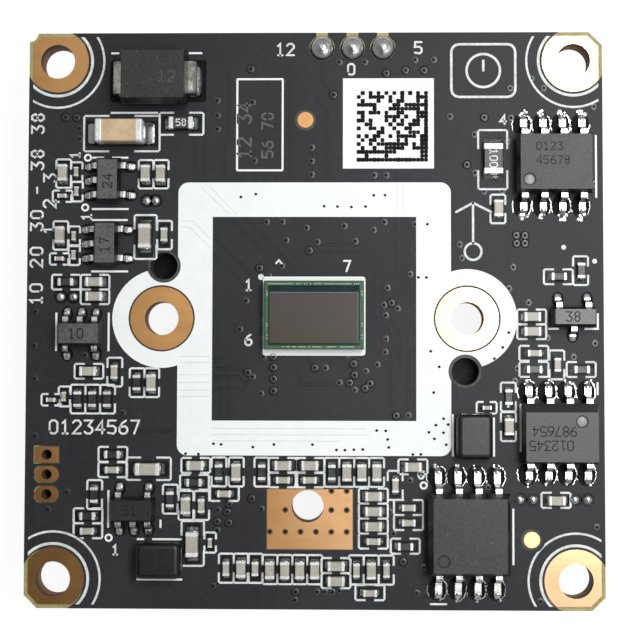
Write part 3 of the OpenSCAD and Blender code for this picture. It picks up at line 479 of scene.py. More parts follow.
class Piece:
    """A mesh in the making, in millimetres."""

    def __init__(self):
        self.points = []
        self.faces = []
        self.slots = []
        self.soft = []

    def add(self, points, faces, slot=0, soft=False):
        """Faces over new points, in one material slot."""
        base = len(self.points)
        self.points += points
        for face in faces:
            self.faces.append([base + i for i in face])
            self.slots.append(slot)
            self.soft.append(soft)

    def prism(self, outline, low, high, slot=0):
        """outline, counter-clockwise, from height low to height high."""
        n = len(outline)
        points = [(x, y, low) for x, y in outline] + [(x, y, high) for x, y in outline]
        faces = [list(range(n - 1, -1, -1)), list(range(n, 2 * n))]
        faces += [[i, (i + 1) % n, n + (i + 1) % n, n + i] for i in range(n)]
        self.add(points, faces, slot)

    def disc(self, x, y, r, low, high, slot=0, sides=20):
        """A flat round plate."""
        self.prism(oval(x, y, r, r, sides), low, high, slot)

    def loops(self, rings, slot=0):
        """A smooth skin through rings of equally many points, with a flat cap at both ends."""
        n = len(rings[0])
        points = [p for ring in rings for p in ring]
        sides = []
        for k in range(len(rings) - 1):
            for i in range(n):
                j = (i + 1) % n
                sides.append([k * n + i, k * n + j, (k + 1) * n + j, (k + 1) * n + i])
        self.add(points, sides, slot, True)
        self.add(rings[0], [list(range(n - 1, -1, -1))], slot)
        self.add(rings[-1], [list(range(n))], slot)

    def lathe(self, x, y, profile, slot=0, sides=20):
        """profile: radius and height from the foot to the crown."""
        rings = [[(px, py, z) for px, py in oval(x, y, r, r, sides)] for r, z in profile]
        self.loops(rings, slot)

    def mound(self, x, y, profile, foot, r=1.0, h=1.0, slot=0, sides=20):
        """A profile that starts at height foot, with its radii times r and its heights times h."""
        self.lathe(x, y, [(share * r, foot + rise * h) for share, rise in profile], slot, sides)

    def soft_box(self, low, high, r, slot=0, steps=2):
        """A box with rounded edges."""
        levels = [(low.z, r), (low.z + r * 0.4, r * 0.3), (low.z + r, 0.0), (high.z - r, 0.0)]
        for k in range(1, steps + 1):
            a = math.pi / 2 * k / steps
            levels.append((high.z - r + r * math.sin(a), r * (1 - math.cos(a))))
        rings = []
        for z, inset in levels:
            corner = max(r - inset * 0.6, r * 0.3)
            plan = rounded_box(
                low.x + inset, low.y + inset, high.x - inset, high.y - inset, corner)
            rings.append([(px, py, z) for px, py in plan])
        self.loops(rings, slot)

    def ribbon(self, line, width, low, high, slot=0, closed=False):
        """A flat-topped strip with round ends along a line of points."""
        outline = widen(line, width / 2, closed)
        if closed:
            n = len(line)
            points = [(x, y, z) for z in (low, high) for ring in outline for x, y in ring]
            faces = []
            for i in range(n):
                j = (i + 1) % n
                faces += [
                    [2 * n + i, 2 * n + j, 3 * n + j, 3 * n + i], [i, n + i, n + j, j],
                    [i, j, 2 * n + j, 2 * n + i], [n + j, n + i, 3 * n + i, 3 * n + j],
                ]
            self.add(points, faces, slot)
        else:
            self.prism(outline, low, high, slot)

    def make(self, name, materials, replaces=()):
        """Makes the object, which rides on the board."""
        mesh = bpy.data.meshes.new(name)
        mesh.from_pydata([Vector(p) * MM for p in self.points], [], self.faces)
        for material in materials:
            mesh.materials.append(finish(material))
        mesh.polygons.foreach_set("material_index", self.slots)
        mesh.polygons.foreach_set("use_smooth", self.soft)
        mesh.update()
        made = bpy.data.objects.new(name.replace(" ", "_"), mesh)
        bpy.context.scene.collection.objects.link(made)
        if replaces:
            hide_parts(*replaces)
        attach(made, "root")


def rounded_box(x0, y0, x1, y1, r, steps=3):
    """Points round a rectangle with rounded corners, counter-clockwise."""
    r = min(r, (x1 - x0) / 2, (y1 - y0) / 2)
    centres = [(x1 - r, y1 - r), (x0 + r, y1 - r), (x0 + r, y0 + r), (x1 - r, y0 + r)]
    points = []
    for (cx, cy), start in zip(centres, (0, 90, 180, 270)):
        for k in range(steps + 1):
            a = math.radians(start + 90 * k / steps)
            points.append((cx + r * math.cos(a), cy + r * math.sin(a)))
    return points


def oval(x, y, rx, ry, sides=20, start=0.0, end=360.0):
    """Points on an ellipse, or on a part of one."""
    full = end - start >= 360
    count = sides if full else sides + 1
    return [
        (x + rx * math.cos(math.radians(start + (end - start) * i / sides)),
         y + ry * math.sin(math.radians(start + (end - start) * i / sides)))
        for i in range(count)
    ]


def edges(line, half, closed=False):
    """The lines that run half to the right and half to the left of a line."""
    pts = [Vector((p[0], p[1])) for p in line]
    n = len(pts)
    right, left = [], []
    for i in range(n):
        before = pts[i] - pts[i - 1] if i or closed else pts[1] - pts[0]
        after = pts[(i + 1) % n] - pts[i] if i < n - 1 or closed else pts[-1] - pts[-2]
        a, b = before.normalized(), after.normalized()
        normal = Vector((-a.y, a.x)) + Vector((-b.y, b.x))
        if normal.length < 1e-6:
            normal = Vector((-a.y, a.x))
        normal.normalize()
        reach = half / max(0.5, normal.dot(Vector((-a.y, a.x))))
        right.append(tuple(pts[i] - normal * reach))
        left.append(tuple(pts[i] + normal * reach))
    return right, left


def widen(line, half, closed=False):
    """The outline of a line drawn with a round pen; a closed line has an outer and an inner one."""
    right, left = edges(line, half, closed)
    if closed:
        def area(ring):
            return abs(sum(a[0] * b[1] - b[0] * a[1] for a, b in zip(ring, ring[1:] + ring[:1])))
        return (right, left) if area(right) > area(left) else (left, right)
    pts = [Vector((p[0], p[1])) for p in line]
    caps = []
    for centre, way in ((pts[-1], pts[-1] - pts[-2]), (pts[0], pts[0] - pts[1])):
        heading = math.atan2(way.y, way.x)
        caps.append([
            (centre.x + half * math.cos(heading + math.radians(t)),
             centre.y + half * math.sin(heading + math.radians(t)))
            for t in (-45, 0, 45)
        ])
    return right + caps[0] + left[::-1] + caps[1]


# The strokes of each sign, in a box 0.9 wide and SIGN_H high; the next one starts WIDE_SET on.
SIGN_H = 1.5
WIDE_SET = 1.35
DIGITS = {
    "0": [[(0, 0.25), (0, 1.25), (0.25, 1.5), (0.65, 1.5), (0.9, 1.25), (0.9, 0.25), (0.65, 0),
           (0.25, 0), (0, 0.25)]],
    "1": [[(0.15, 1.2), (0.45, 1.5), (0.45, 0)], [(0.15, 0), (0.75, 0)]],
    "2": [[(0, 1.25), (0.25, 1.5), (0.65, 1.5), (0.9, 1.25), (0.9, 1), (0, 0), (0.9, 0)]],
    "3": [[(0, 1.5), (0.9, 1.5), (0.45, 0.9), (0.9, 0.6), (0.9, 0.25), (0.65, 0), (0.25, 0), (0, 0.2)]],
    "4": [[(0.7, 0), (0.7, 1.5), (0, 0.45), (0.95, 0.45)]],
    "5": [[(0.9, 1.5), (0.05, 1.5), (0, 0.85), (0.6, 0.9), (0.9, 0.65), (0.9, 0.25), (0.65, 0), (0, 0.1)]],
    "6": [[(0.75, 1.5), (0.3, 1.2), (0, 0.7), (0, 0.25), (0.25, 0), (0.65, 0), (0.9, 0.25), (0.9, 0.6),
           (0.65, 0.85), (0.1, 0.75)]],
    "7": [[(0, 1.5), (0.9, 1.5), (0.35, 0)]],
    "8": [[(0.25, 0.8), (0, 1.1), (0.25, 1.5), (0.65, 1.5), (0.9, 1.1), (0.65, 0.8), (0.25, 0.8),
           (0, 0.4), (0.25, 0), (0.65, 0), (0.9, 0.4), (0.65, 0.8)]],
    "9": [[(0.1, 0), (0.6, 0.3), (0.9, 0.8), (0.9, 1.2), (0.65, 1.5), (0.25, 1.5), (0, 1.25), (0, 0.95),
           (0.25, 0.7), (0.85, 0.8)]],
    "-": [[(0.1, 0.75), (0.8, 0.75)]],
    " ": [],
}


def number(piece, words, x, y, height, turn, pen, low=FRONT_Z, thick=PRINT_T, slot=0,
           advance=WIDE_SET):
    """Draws digits from their lower left corner, turned by turn degrees."""
    size = height / SIGN_H
    c, s = math.cos(math.radians(turn)), math.sin(math.radians(turn))
    for k, sign in enumerate(words):
        for line in DIGITS[sign]:
            placed = []
            for px, py in line:
                u, v = (px + k * advance) * size, py * size
                placed.append((x + u * c - v * s, y + u * s + v * c))
            piece.ribbon(placed, pen, low, low + thick, slot)


# ---- Places on the board, in millimetres ----

# Vias that raise the mask a little.
VIAS = [
    (-16.47, 13.29), (-15.74, 13.27), (-15.53, 12.55), (-15.52, 11.84), (-18.34, 0.42),
    (-6.45, 14.39), (-6.43, 13.4), (-6.43, 12.49), (-4.12, 14.28), (-3.98, 10.39), (-0.22, 11.27),
    (-0.22, 10.37), (-0.22, 9.48), (1.6, 16.94), (3.28, 16.94), (6.6, 17.08), (7.83, 17.09),
    (3.9, 9.43), (4.7, 9.43), (8.89, 13.32), (14.26, 15.82), (12.85, 15.19), (15.07, 15.19),
    (10.49, 12.12), (10.52, 9.58), (18.34, 13.95), (12.68, 11.63), (12.9, 13.22), (-4.83, 7.99),
    (-3.85, 8.18), (-3.17, 6.35), (-2.13, 6.35), (-0.55, 5.96), (-1.88, 5.14), (0.17, 5.03),
    (-2.16, 3.46), (-3.0, 2.76), (-4.5, 1.15), (0.64, 7.38), (1.52, 7.36), (2.43, 7.33),
    (3.36, 7.36), (3.9, 8.1), (4.64, 8.11), (7.41, 6.2), (7.34, 2.7), (1.94, 6.09), (4.57, 6.34),
    (3.86, 5.81), (2.67, 5.07), (6.58, 6.19), (6.26, 2.91), (6.82, 2.7), (4.76, 2.0), (4.55, 0.89),
    (5.44, 0.65), (4.66, 0.21), (9.5, 4.86), (9.64, 3.97), (13.0, 3.37), (12.73, 1.98),
    (14.0, 1.05), (11.12, 8.37), (12.3, 8.39), (18.38, 8.86), (-4.89, -0.71), (-3.36, -0.29),
    (-3.33, -1.38), (-3.33, -2.5), (-4.05, -3.83), (-3.49, -4.92), (0.72, -3.23), (4.68, -1.34),
    (4.63, -2.19), (4.11, -3.02), (3.36, -3.44), (1.64, -4.2), (2.63, -4.68), (6.15, -6.32),
    (2.09, -2.4), (-6.55, -8.19), (-6.05, -8.23), (-3.98, -8.4), (-2.6, -8.23), (-0.09, -8.23),
    (-8.37, -8.84), (-7.53, -8.87), (1.48, -8.57), (2.03, -8.58), (2.61, -8.55), (3.19, -8.53),
    (4.1, -7.3), (4.69, -7.32), (4.81, -7.88), (4.88, -8.4), (6.45, -8.85), (6.97, -8.84),
    (7.62, -2.13), (8.17, -3.15), (7.81, -4.82), (8.45, -6.52), (8.75, -6.9), (7.95, -6.94),
    (7.49, -7.4), (8.44, -7.43), (7.85, -7.83), (8.62, -8.21), (12.71, -0.9), (12.31, -1.87),
    (11.76, -2.6), (13.25, -3.25), (13.09, -4.07), (15.23, -1.26), (18.32, -1.6), (16.93, -2.5),
    (-18.38, -1.81), (-18.34, -3.96), (-15.06, -2.43), (-12.54, -6.19), (-18.28, -7.73),
    (-17.4, -12.5), (-16.15, -11.37), (-3.43, -12.42), (-6.26, -12.5), (-6.29, -13.83),
    (-6.55, -17.41), (-1.23, -18.29), (0.2, -17.76), (0.71, -17.76), (1.2, -17.76), (1.65, -17.7),
    (2.66, -17.82), (4.92, -12.58), (5.18, -13.98), (7.13, -16.16), (6.69, -17.81), (6.25, -10.54),
    (18.36, -13.52), (14.68, -18.31), (11.33, -10.98),
]

# Vias with a dark ring round a higher bump.
RINGED_VIAS = [
    (-4.23, 16.49), (4.71, 16.2), (5.98, 16.39), (7.2, 16.38), (1.23, 14.77), (11.15, 13.25),
    (10.0, 10.13), (-0.34, 4.45), (-3.61, 3.3), (5.05, 1.02), (13.22, 5.48), (13.78, 5.46),
    (13.24, 4.94), (13.78, 4.94), (-2.68, -2.5), (-2.66, -3.21), (-2.66, -3.97), (-2.66, -4.74),
    (-4.34, -3.54), (0.03, -3.23), (2.58, -2.97), (2.63, -3.7), (2.31, -4.21), (3.65, -4.25),
    (3.33, -4.57), (5.36, -6.34), (-4.05, -11.76), (-5.51, -12.1), (-5.64, -12.62), (-6.29, -13.25),
    (-5.55, -13.33), (-1.18, -17.76), (5.8, -15.79), (-16.47, 13.29), (-15.74, 13.27),
]

# Tracks under the mask, drawn as dark lines of painted shade along their edges.
TRACES = [
    [(-7.75, 8.8), (-2.5, 3.5)], [(-6.3, 8.4), (-1.6, 3.6)],
    [(-8.8, 6.6), (-7.8, 6.6), (-3.7, 2.5)], [(-8.4, 5.9), (-3.4, 1.1)], [(5.36, 9.6), (5.36, 1.6)],
    [(5.78, 9.6), (5.78, 1.2)], [(6.14, 9.6), (6.14, 0.9)],
    [(0, 4.85), (3.2, 4.85), (4.4, 3.9), (4.4, 0.5), (5.55, -0.9), (5.55, -3.3)],
    [(0, 4.4), (2.9, 4.4), (3.95, 3.6), (3.95, 0.1), (5, -1), (5, -6.3)],
    [(-5.65, 16.4), (-5.65, 12.1)], [(0.5, 17.0), (0.5, 15.6), (1.23, 14.77)],
    [(-9.0, -7.4), (3.5, -7.4)], [(-9.0, -7.75), (3.5, -7.75)],
    [(-8.8, -2.5), (-6.9, -2.5), (-5.6, -3.8), (-5.6, -6.4)],
    [(-8.8, -3.1), (-7.2, -3.1), (-6.1, -4.2), (-6.1, -6.4)],
    [(-8.8, -4.8), (-7.6, -4.8), (-6.6, -5.8)],
    [(-1.0, -2.5), (-1.0, -4.0), (-0.7, -4.3), (1.5, -4.3)],
    [(-0.35, -2.5), (-0.35, -2.9), (0.03, -3.23)], [(1.7, -2.5), (2.2, -3.2), (2.6, -3.2)],
    [(-6.6, -2.6), (-5.6, -2.6)], [(-6.6, -3.3), (-5.2, -3.3), (-4.4, -3.5)],
    [(-6.6, -3.8), (-5.0, -3.8), (-4.4, -4.2)], [(-6.6, -4.6), (-4.6, -4.6), (-4.05, -3.9)],
    [(6.15, -6.32), (6.15, -2.4), (7.3, -1.2)], [(-12.3, 8.6), (-9.6, 8.6), (-8.8, 7.8)],
    [(-12.0, 7.0), (-10.2, 7.0)], [(9.2, 12.4), (10.2, 11.4), (10.2, 8.6)],
    [(9.0, 2.6), (9.0, 8.6)], [(12.7, 3.4), (12.7, 7.2), (13.2, 7.7)],
    [(-0.22, 9.3), (-0.22, 12.0)], [(-1.6, 9.3), (-1.6, 16.6)],
    [(0.8, 9.3), (0.8, 13.8), (0.1, 14.5)], [(-7.9, 9.4), (-7.9, 14.2)],
    [(-7.3, 9.4), (-7.3, 17.6)], [(-6.0, 9.4), (-6.0, 11.8)], [(9.2, -3.9), (9.2, -5.6)],
    [(12.0, -3.6), (10.4, -5.2)], [(12.5, -3.7), (11.2, -5.0)], [(-18.4, -9.5), (-18.4, -13.6)],
    [(-13.3, -6.6), (-12.6, -7.3), (-9.2, -7.3)], [(-13.0, -7.4), (-9.4, -7.4), (-9.0, -7.0)],
    [(7.4, 10.6), (8.6, 10.6), (8.6, 13.0)], [(18.3, -1.9), (18.3, -3.9)],
    [(14.0, 3.4), (15.3, 4.7), (18.2, 4.7)], [(14.0, 6.4), (18.2, 6.4)],
    [(13.0, -13.6), (13.0, -16.6)], [(5.3, -16.6), (6.7, -18.0), (12.8, -18.0)],
]

# Edges of tracks that crease the printed frame.
PRINT_CREASES = [[(-8.8, y), (-6.85, y)] for y in (-2.5, -2.9, -3.7, -4.2, -4.7, -5.1)] + [
    [(-6.6, y), (x, y)] for x, y in ((3.4, -7.2), (3.4, -7.6), (1.6, -8.0))] + [
    [(-8.7, 6.4), (-8.0, 6.4), (-6.85, 5.25)], [(-8.7, 6.0), (-8.2, 6.0), (-6.85, 4.65)],
    [(-7.4, 8.6), (-5.6, 6.85)], [(-6.9, 8.7), (-5.1, 6.85)], [(5.4, 6.9), (5.4, 8.8)],
    [(5.8, 6.9), (5.8, 8.8)],
]

# Vias of the earth pad, from its middle.
EARTH_VIAS = [(x, -0.93) for x in (-2.6, -1.6, -0.6, 0.4, 1.4, 2.4)] + [
    (-1.6, 0.48), (1.4, 0.48), (2.4, 0.48), (1.4, 1.72), (2.4, 1.72),
]

# The lens holder's screws, either side of the middle, and the share of its frame that is hollow.
LENS_SCREW_X = 10.0
FRAME_HOLLOW = 0.745


def in_frame_print(x, y):
    """True where the white print of the lens holder's frame lies."""
    high = node_box("lens_frame_print")[1]
    reach = max(abs(x), abs(y))
    lobes = any(math.hypot(x - sx, y) < high.x - LENS_SCREW_X
                for sx in (-LENS_SCREW_X, LENS_SCREW_X))
    return (reach < high.y or lobes) and not reach < high.y * FRAME_HOLLOW


# ---- Settings and helpers ----

class Settings(bpy.types.PropertyGroup):
    """Sizes and levels that a user would change."""
    via_radius: bpy.props.FloatProperty(
        name="Via Radius", description="Radius of the bump over a via, in millimetres",
        default=0.24, min=0.1, max=0.5)
    trace_width: bpy.props.FloatProperty(
        name="Trace Width", description="Width of a trace under the mask, in millimetres",
        default=0.17, min=0.05, max=0.6)
    pen: bpy.props.FloatProperty(
        name="Print Pen", description="Width of the strokes of printed digits, in millimetres",
        default=0.13, min=0.05, max=0.3)
    random_seed: bpy.props.IntProperty(
        name="Seed", description="Seed of the small differences between like joints",
        default=7, min=0)
    lamp_power: bpy.props.FloatProperty(
        name="Lamp Power", description="Power that each lamp takes a share of",
        default=0.068, min=0.0, unit="POWER")
    sky_level: bpy.props.FloatProperty(
        name="Sky Level", description="Strength of the studio's even light",
        default=1.0, min=0.0, subtype="FACTOR")
    floor_colour: bpy.props.FloatVectorProperty(
        name="Floor Colour", description="Colour of the studio floor", default=(0.95, 0.95, 0.95),
        min=0.0, max=1.0, size=3, subtype="COLOR")


def settings():
    """The add-on's values in this scene."""
    return bpy.context.scene.camera_module


def spark():
    """A generator of repeatable small differences."""
    return random.Random(settings().random_seed)


def upright(low, high):
    """True for a box that is longer in y than in x."""
    return high.y - low.y > high.x - low.x


# ---- Builders ----

# The recipe of each source solid.
SURFACES = {
    "laminate": ["core"],
    "solder_mask": ["front_mask", "back_mask"],
    "copper": ["corner_pads", "lens_screw_pads", "earth_pad", "fiducials", "spare_header_pads"],
    "white_print": ["lens_frame_print", "label_print", "part_outline_print"],
    "worn_print": ["corner_ring_print", "chip_outline_print"],
    "solder": ["sensor_balls", "back_balls", "network_lands", "chip_solder", "lead_solder",
               "spare_pad_solder", "plug_solder"],
    "silicon": ["sensor_die"],
    "pixel_field": ["sensor_pixels"],
    "sensor_frame": ["sensor_dam"],
    "cover_glass": ["sensor_glass"],
    "moulded_black": ["upper_driver_body"],
    "flash_mould": ["flash_body"],
    "small_mould": ["lower_driver_body"],
    "regulator_mould": ["regulator_bodies"],
    "transistor_mould": ["transistor_body"],
    "back_mould": ["processor_body", "memory_body", "network_body"],
    "diode_black": ["diode_body"],
    "tinned_metal": ["upper_driver_leads", "lower_driver_leads", "flash_leads", "regulator_leads",
                     "transistor_leads", "coil_ends", "network_leads"],
    "dull_tin": ["diode_leads"],
    "chip_end": ["large_capacitor_ends", "medium_capacitor_ends", "capacitor_ends",
                 "small_capacitor_ends", "tiny_capacitor_ends", "resistor_ends",
                 "marked_resistor_ends"],
    "coil_case": ["coil_cases"],
    "tan_ceramic": ["large_capacitor_body"],
    "grey_ceramic": ["medium_capacitor_bodies", "capacitor_bodies", "small_capacitor_bodies",
                     "tiny_capacitor_bodies"],
    "resistor_coat": ["resistor_bodies"],
    "marked_coat": ["marked_resistor_bodies"],
    "plated_pin": ["plug_pins"],
    "plug_plastic": ["plug_shell", "wafer_shell"],
    "crystal_can": ["crystal"],
}


class BuildOperator(bpy.types.Operator):
    """What the builders share."""
    bl_options = {"REGISTER", "UNDO"}


class CAMERAMODULE_OT_surfaces(BuildOperator):
    """Gives every solid of the frame its material"""
    bl_idname = "camera_module.surfaces"
    bl_label = "Finish Solids"

    def execute(self, context):
        for name, nodes in SURFACES.items():
            for node in nodes:
                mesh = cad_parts[node].data
                mesh.materials.clear()
                mesh.materials.append(finish(name))
        return {"FINISHED"}


# How deep thin pieces reach into the solid below, and how thick skins and the dark films of flux with
# painted shade are.
BURY = 0.01
SKIN_T = 0.002
FILM_T = 0.004
FLUX_SHADE_T = 0.005

# Widths of a track's edge and of a crease; radii of a via's hole and of the ring round some.
TRACE_EDGE = 0.045
CREASE = 0.05
HOLE_R = 0.1
RING_R = 0.31
# From the foot inwards: radius, height. A plain via's radii are shares of the setting.
VIA_BUMP = [(1.0, 0.0), (0.75, 0.016), (0.5, 0.012)]
RING_BUMP = [(0.26, 0.0), (0.2, 0.024), (0.12, 0.016)]
# Height of the dark disc in the middle of each kind, painted shade standing for the via's hole.
HOLE_T = 0.014
RING_HOLE_T = 0.018
# The earth pad's vias: radius, height over the pad, material slot, sides; the inner dark disc is painted
# shade standing for the hole.
EARTH_RIMS = [(0.2, 0.003, 0, 18), (0.11, 0.005, 1, 14)]


class CAMERAMODULE_OT_relief(BuildOperator):
    """Raises the traces and vias that show through the solder mask"""
    bl_idname = "camera_module.relief"
    bl_label = "Traces and Vias"

    def execute(self, context):
        half = settings().trace_width / 2
        traces = Piece()
        # Painted shade: each edge of a track is drawn as a thin dark strip.
        for line in TRACES:
            for edge in edges(line, half):
                traces.ribbon(edge, TRACE_EDGE, FRONT_Z - BURY, FRONT_Z + FILM_T)
        traces.make("Traces", ["trace_edge"])
        creases = Piece()
        for line in PRINT_CREASES:
            creases.ribbon(line, CREASE, PRINT_Z - FILM_T, PRINT_Z + SKIN_T)
        creases.make("Print_Creases", ["print_shade"])
        vias = Piece()
        for x, y in VIAS:
            if in_frame_print(x, y):
                # A dark dent in the print, painted shade for the via's hole.
                dent = oval(x, y, HOLE_R, HOLE_R * 0.9, 12)
                vias.prism(dent, PRINT_Z - BURY, PRINT_Z + SKIN_T, 1)
                continue
            vias.mound(x, y, VIA_BUMP, FRONT_Z, settings().via_radius, 1.0, 0, 14)
            vias.disc(x, y, HOLE_R, FRONT_Z, FRONT_Z + HOLE_T, 1, 12)
        for x, y in RINGED_VIAS:
            vias.disc(x, y, RING_R, FRONT_Z, FRONT_Z + FILM_T, 1)
            vias.mound(x, y, RING_BUMP, FRONT_Z, 1.0, 1.0, 0, 16)
            vias.disc(x, y, HOLE_R, FRONT_Z, FRONT_Z + RING_HOLE_T, 1, 12)
        rims = Piece()
        low, high = node_box("earth_pad")
        pad_x, pad_y = middle_of(low, high)
        for across, up in EARTH_VIAS:
            for r, rise, slot, sides in EARTH_RIMS:
                rims.disc(pad_x + across, pad_y + up, r, FRONT_Z, high.z + rise, slot, sides)
        rims.make("Earth Via Rims", ["dull_copper", "hole_dark"])
        vias.make("Vias", ["relief_mask", "hole_dark"])
        return {"FINISHED"}


# digits, lower left corner, height, turn, advance
BOARD_NUMBERS = [
    ("10 20 30 - 38 38", -17.9, 0.95, 0.78, 90, 1.55), ("1 2 3", -17.05, 5.6, 0.8, 90, 1.6),
    ("01234567", -17.3, -7.55, 0.85, 0, WIDE_SET), ("12", -2.5, 17.4, 0.75, 0, WIDE_SET),
    ("0", 2.2, 16.1, 0.7, 0, WIDE_SET), ("5", 6.6, 17.5, 0.75, 0, WIDE_SET),
    ("7", 1.95, 3.1, 0.68, 0, WIDE_SET), ("1", -4.5, 1.85, 0.68, 0, WIDE_SET),
    ("6", -4.5, -1.75, 0.68, 0, WIDE_SET), ("1", -15.5, 10.6, 0.6, 90, WIDE_SET),
    ("1", -14.7, 6.5, 0.6, 90, WIDE_SET), ("1", -13.1, -15.4, 0.6, 0, WIDE_SET),
    ("8", 6.8, -10.4, 0.6, 0, WIDE_SET), ("4", 12.2, 12.8, 0.6, 0, WIDE_SET),
]
# The label's field of dots: its first dot from the label's upper left corner.
LABEL_INSET = (1.04, 0.98)
LABEL_PITCH = 0.26
LABEL_DOTS = 18
LABEL_DOT_T = 0.003


class CAMERAMODULE_OT_print(BuildOperator):
    """Prints plain digits, marks and the label's dots"""
    bl_idname = "camera_module.print"
    bl_label = "Print"

    def execute(self, context):
        pen = settings().pen
        ink = Piece()
        for words, x, y, height, turn, advance in BOARD_NUMBERS:
            number(ink, words, x, y, height, turn, pen, advance=advance)
        ink.ribbon([(-2.5, 3.62), (-2.32, 3.82), (-2.14, 3.62)], pen, FRONT_Z, PRINT_Z)
        ink.disc(-3.48, 2.72, 0.2, FRONT_Z, PRINT_Z)
        ink.ribbon([(7.6, -18.5), (8.6, -18.5)], pen, FRONT_Z, PRINT_Z)
        for x, y in ((16.31, 4.68), (18.32, 3.77)):
            ink.disc(x, y, 0.16, FRONT_Z, PRINT_Z)
        # A square round a clock-like ring with its hand, and a ring with an arrow.
        for line, width, closed in (
            (rounded_box(9.0, 14.6, 13.2, 18.1, 0.5), 0.16, True),
            (oval(11.1, 16.35, 1.1, 1.1, 28), 0.16, True),
            ([(11.1, 16.35), (11.1, 17.0)], 0.16, False),
            (oval(10.4, 4.4, 0.55, 0.55, 24), 0.15, True),
            ([(10.4, 4.95), (10.4, 7.6)], 0.15, False),
            ([(9.3, 7.0), (10.4, 7.6), (11.6, 7.0)], 0.15, False),
        ):
            ink.ribbon(line, width, FRONT_Z, PRINT_Z, closed=closed)
        ink.make("Printed Marks", ["worn_print"])

        faint = Piece()
        number(faint, "12 34", -4.2, 10.6, 0.85, 90, pen * 1.1)
        number(faint, "56 78", -2.75, 10.6, 0.7, 90, pen)
        faint.make("Dim Marks", ["dim_print"])

        low, high = node_box("label_print")
        dots = Piece()
        chance = spark()
        x0, y0 = low.x + LABEL_INSET[0], high.y - LABEL_INSET[1]
        for row in range(LABEL_DOTS):
            for column in range(LABEL_DOTS):
                solid = LABEL_DOTS - 1 in (row, column)
                timing = (row == 0 and column % 2) or (column == 0 and row % 2)
                drawn = chance.random() < 0.5
                if solid or timing or (drawn and row and column):
                    x, y = x0 + column * LABEL_PITCH, y0 - row * LABEL_PITCH
                    half = LABEL_PITCH * chance.uniform(0.48, 0.56)
                    dot = rounded_box(x - half, y - half, x + half, y + half, 0.06, 2)
                    dots.prism(dot, high.z - FILM_T, high.z + LABEL_DOT_T)
        dots.make("Label Dots", ["hole_dark"])
        return {"FINISHED"}


# Bond pads: their radius, their pitch, the ends of the two rows, and where the few side ones stand.
BOND_R = 0.042
BOND_PITCH = 0.13
UPPER_BONDS = (-2.95, 2.95)
LOWER_BONDS = (-2.0, 2.6)
SIDE_BONDS = (1.75, 1.6, 1.5, -0.35, -0.5, -1.1, -1.3)


class CAMERAMODULE_OT_sensor(BuildOperator):
    """Adds the sensor's border lines and bond pads under its glass"""
    bl_idname = "camera_module.sensor"
    bl_label = "Image Sensor"

    def execute(self, context):
        dam_low, dam_high = node_box("sensor_dam")
        field_low, field_high = node_box("sensor_pixels")
        top = dam_high.z
        lines = Piece()
        x, y, z = field_high.x - 0.04, field_high.y, field_high.z
        lines.ribbon([(field_low.x, y), (x, y), (x, field_low.y)], 0.035, z - 0.005, z + 0.004)
        for inset in (0.03, 0.27):
            x0, y0 = dam_low.x + inset, dam_low.y + inset
            x1, y1 = dam_high.x - inset, dam_high.y - inset
            lines.ribbon(
                [(x0, y0), (x1, y0), (x1, y1), (x0, y1)], 0.06, top - 0.008, top + 0.002, 1,
                closed=True)
        lines.make("Sensor Lines", ["field_edge", "dam_edge"])
        dots = Piece()
        chance = spark()
        for y, (x, last) in ((dam_high.y - 0.2, UPPER_BONDS), (dam_low.y + 0.16, LOWER_BONDS)):
            while x < last:
                if chance.random() < 0.75:
                    dots.disc(x, y, BOND_R, top - 0.01, top + 0.004, 0, 8)
                x += BOND_PITCH
        for x in (dam_low.x + 0.2, dam_high.x - 0.12):
            for y in SIDE_BONDS:
                dots.disc(x, y, BOND_R, top - 0.01, top + 0.004, 0, 8)
        dots.make("Bond Pads", ["bond_dot"])
        return {"FINISHED"}


# Metal ends: their share of a chip's length, their greatest length, and how thickly they plate it.
END_SHARE = 0.2
END_MAX = 0.5
PLATE_T = 0.02
# Radius of the holes for the pin header that isn't fitted.
HEADER_HOLE_R = 0.4
CHIP_KINDS = [
    # title, bodies, ends, body finish, reach of the solder, rounding
    ("Large Capacitor", "large_capacitor_body", "large_capacitor_ends", "tan_ceramic", 0.95, 0.09),
    ("Medium Capacitors", "medium_capacitor_bodies", "medium_capacitor_ends", "grey_ceramic", 0.42, 0.06),
    ("Capacitors", "capacitor_bodies", "capacitor_ends", "grey_ceramic", 0.26, 0.05),
    ("Small Capacitors", "small_capacitor_bodies", "small_capacitor_ends", "grey_ceramic", 0.26, 0.04),
    ("Tiny Capacitors", "tiny_capacitor_bodies", "tiny_capacitor_ends", "grey_ceramic", 0.13, 0.03),
    ("Resistors", "resistor_bodies", "resistor_ends", "resistor_coat", 0.26, 0.03),
    ("Marked Resistors", "marked_resistor_bodies", "marked_resistor_ends", "marked_coat", 0.42, 0.04),
]


def turned(low, high, flip):
    """Swaps x and y of a box when flip is set."""
    if flip:
        return Vector((low.y, low.x, low.z)), Vector((high.y, high.x, high.z))
    return low, high


def solder_run(piece, x, y, sign, flip, stations, slot=0):
    """A mound of solder from x outwards along sign; stations: reach, half width, height."""
    rings = []
    for reach, half, height in stations:
        across = [(-half, 0), (half, 0), (half * 0.9, height * 0.6), (half * 0.45, height),
                  (-half * 0.45, height), (-half * 0.9, height * 0.6)]
        ring = []
        for v, z in across:
            px, py = x + sign * reach, y + sign * v
            ring.append((py, px, FRONT_Z + z) if flip else (px, py, FRONT_Z + z))
        rings.append(ring[::-1] if flip else ring)
    piece.loops(rings, slot)


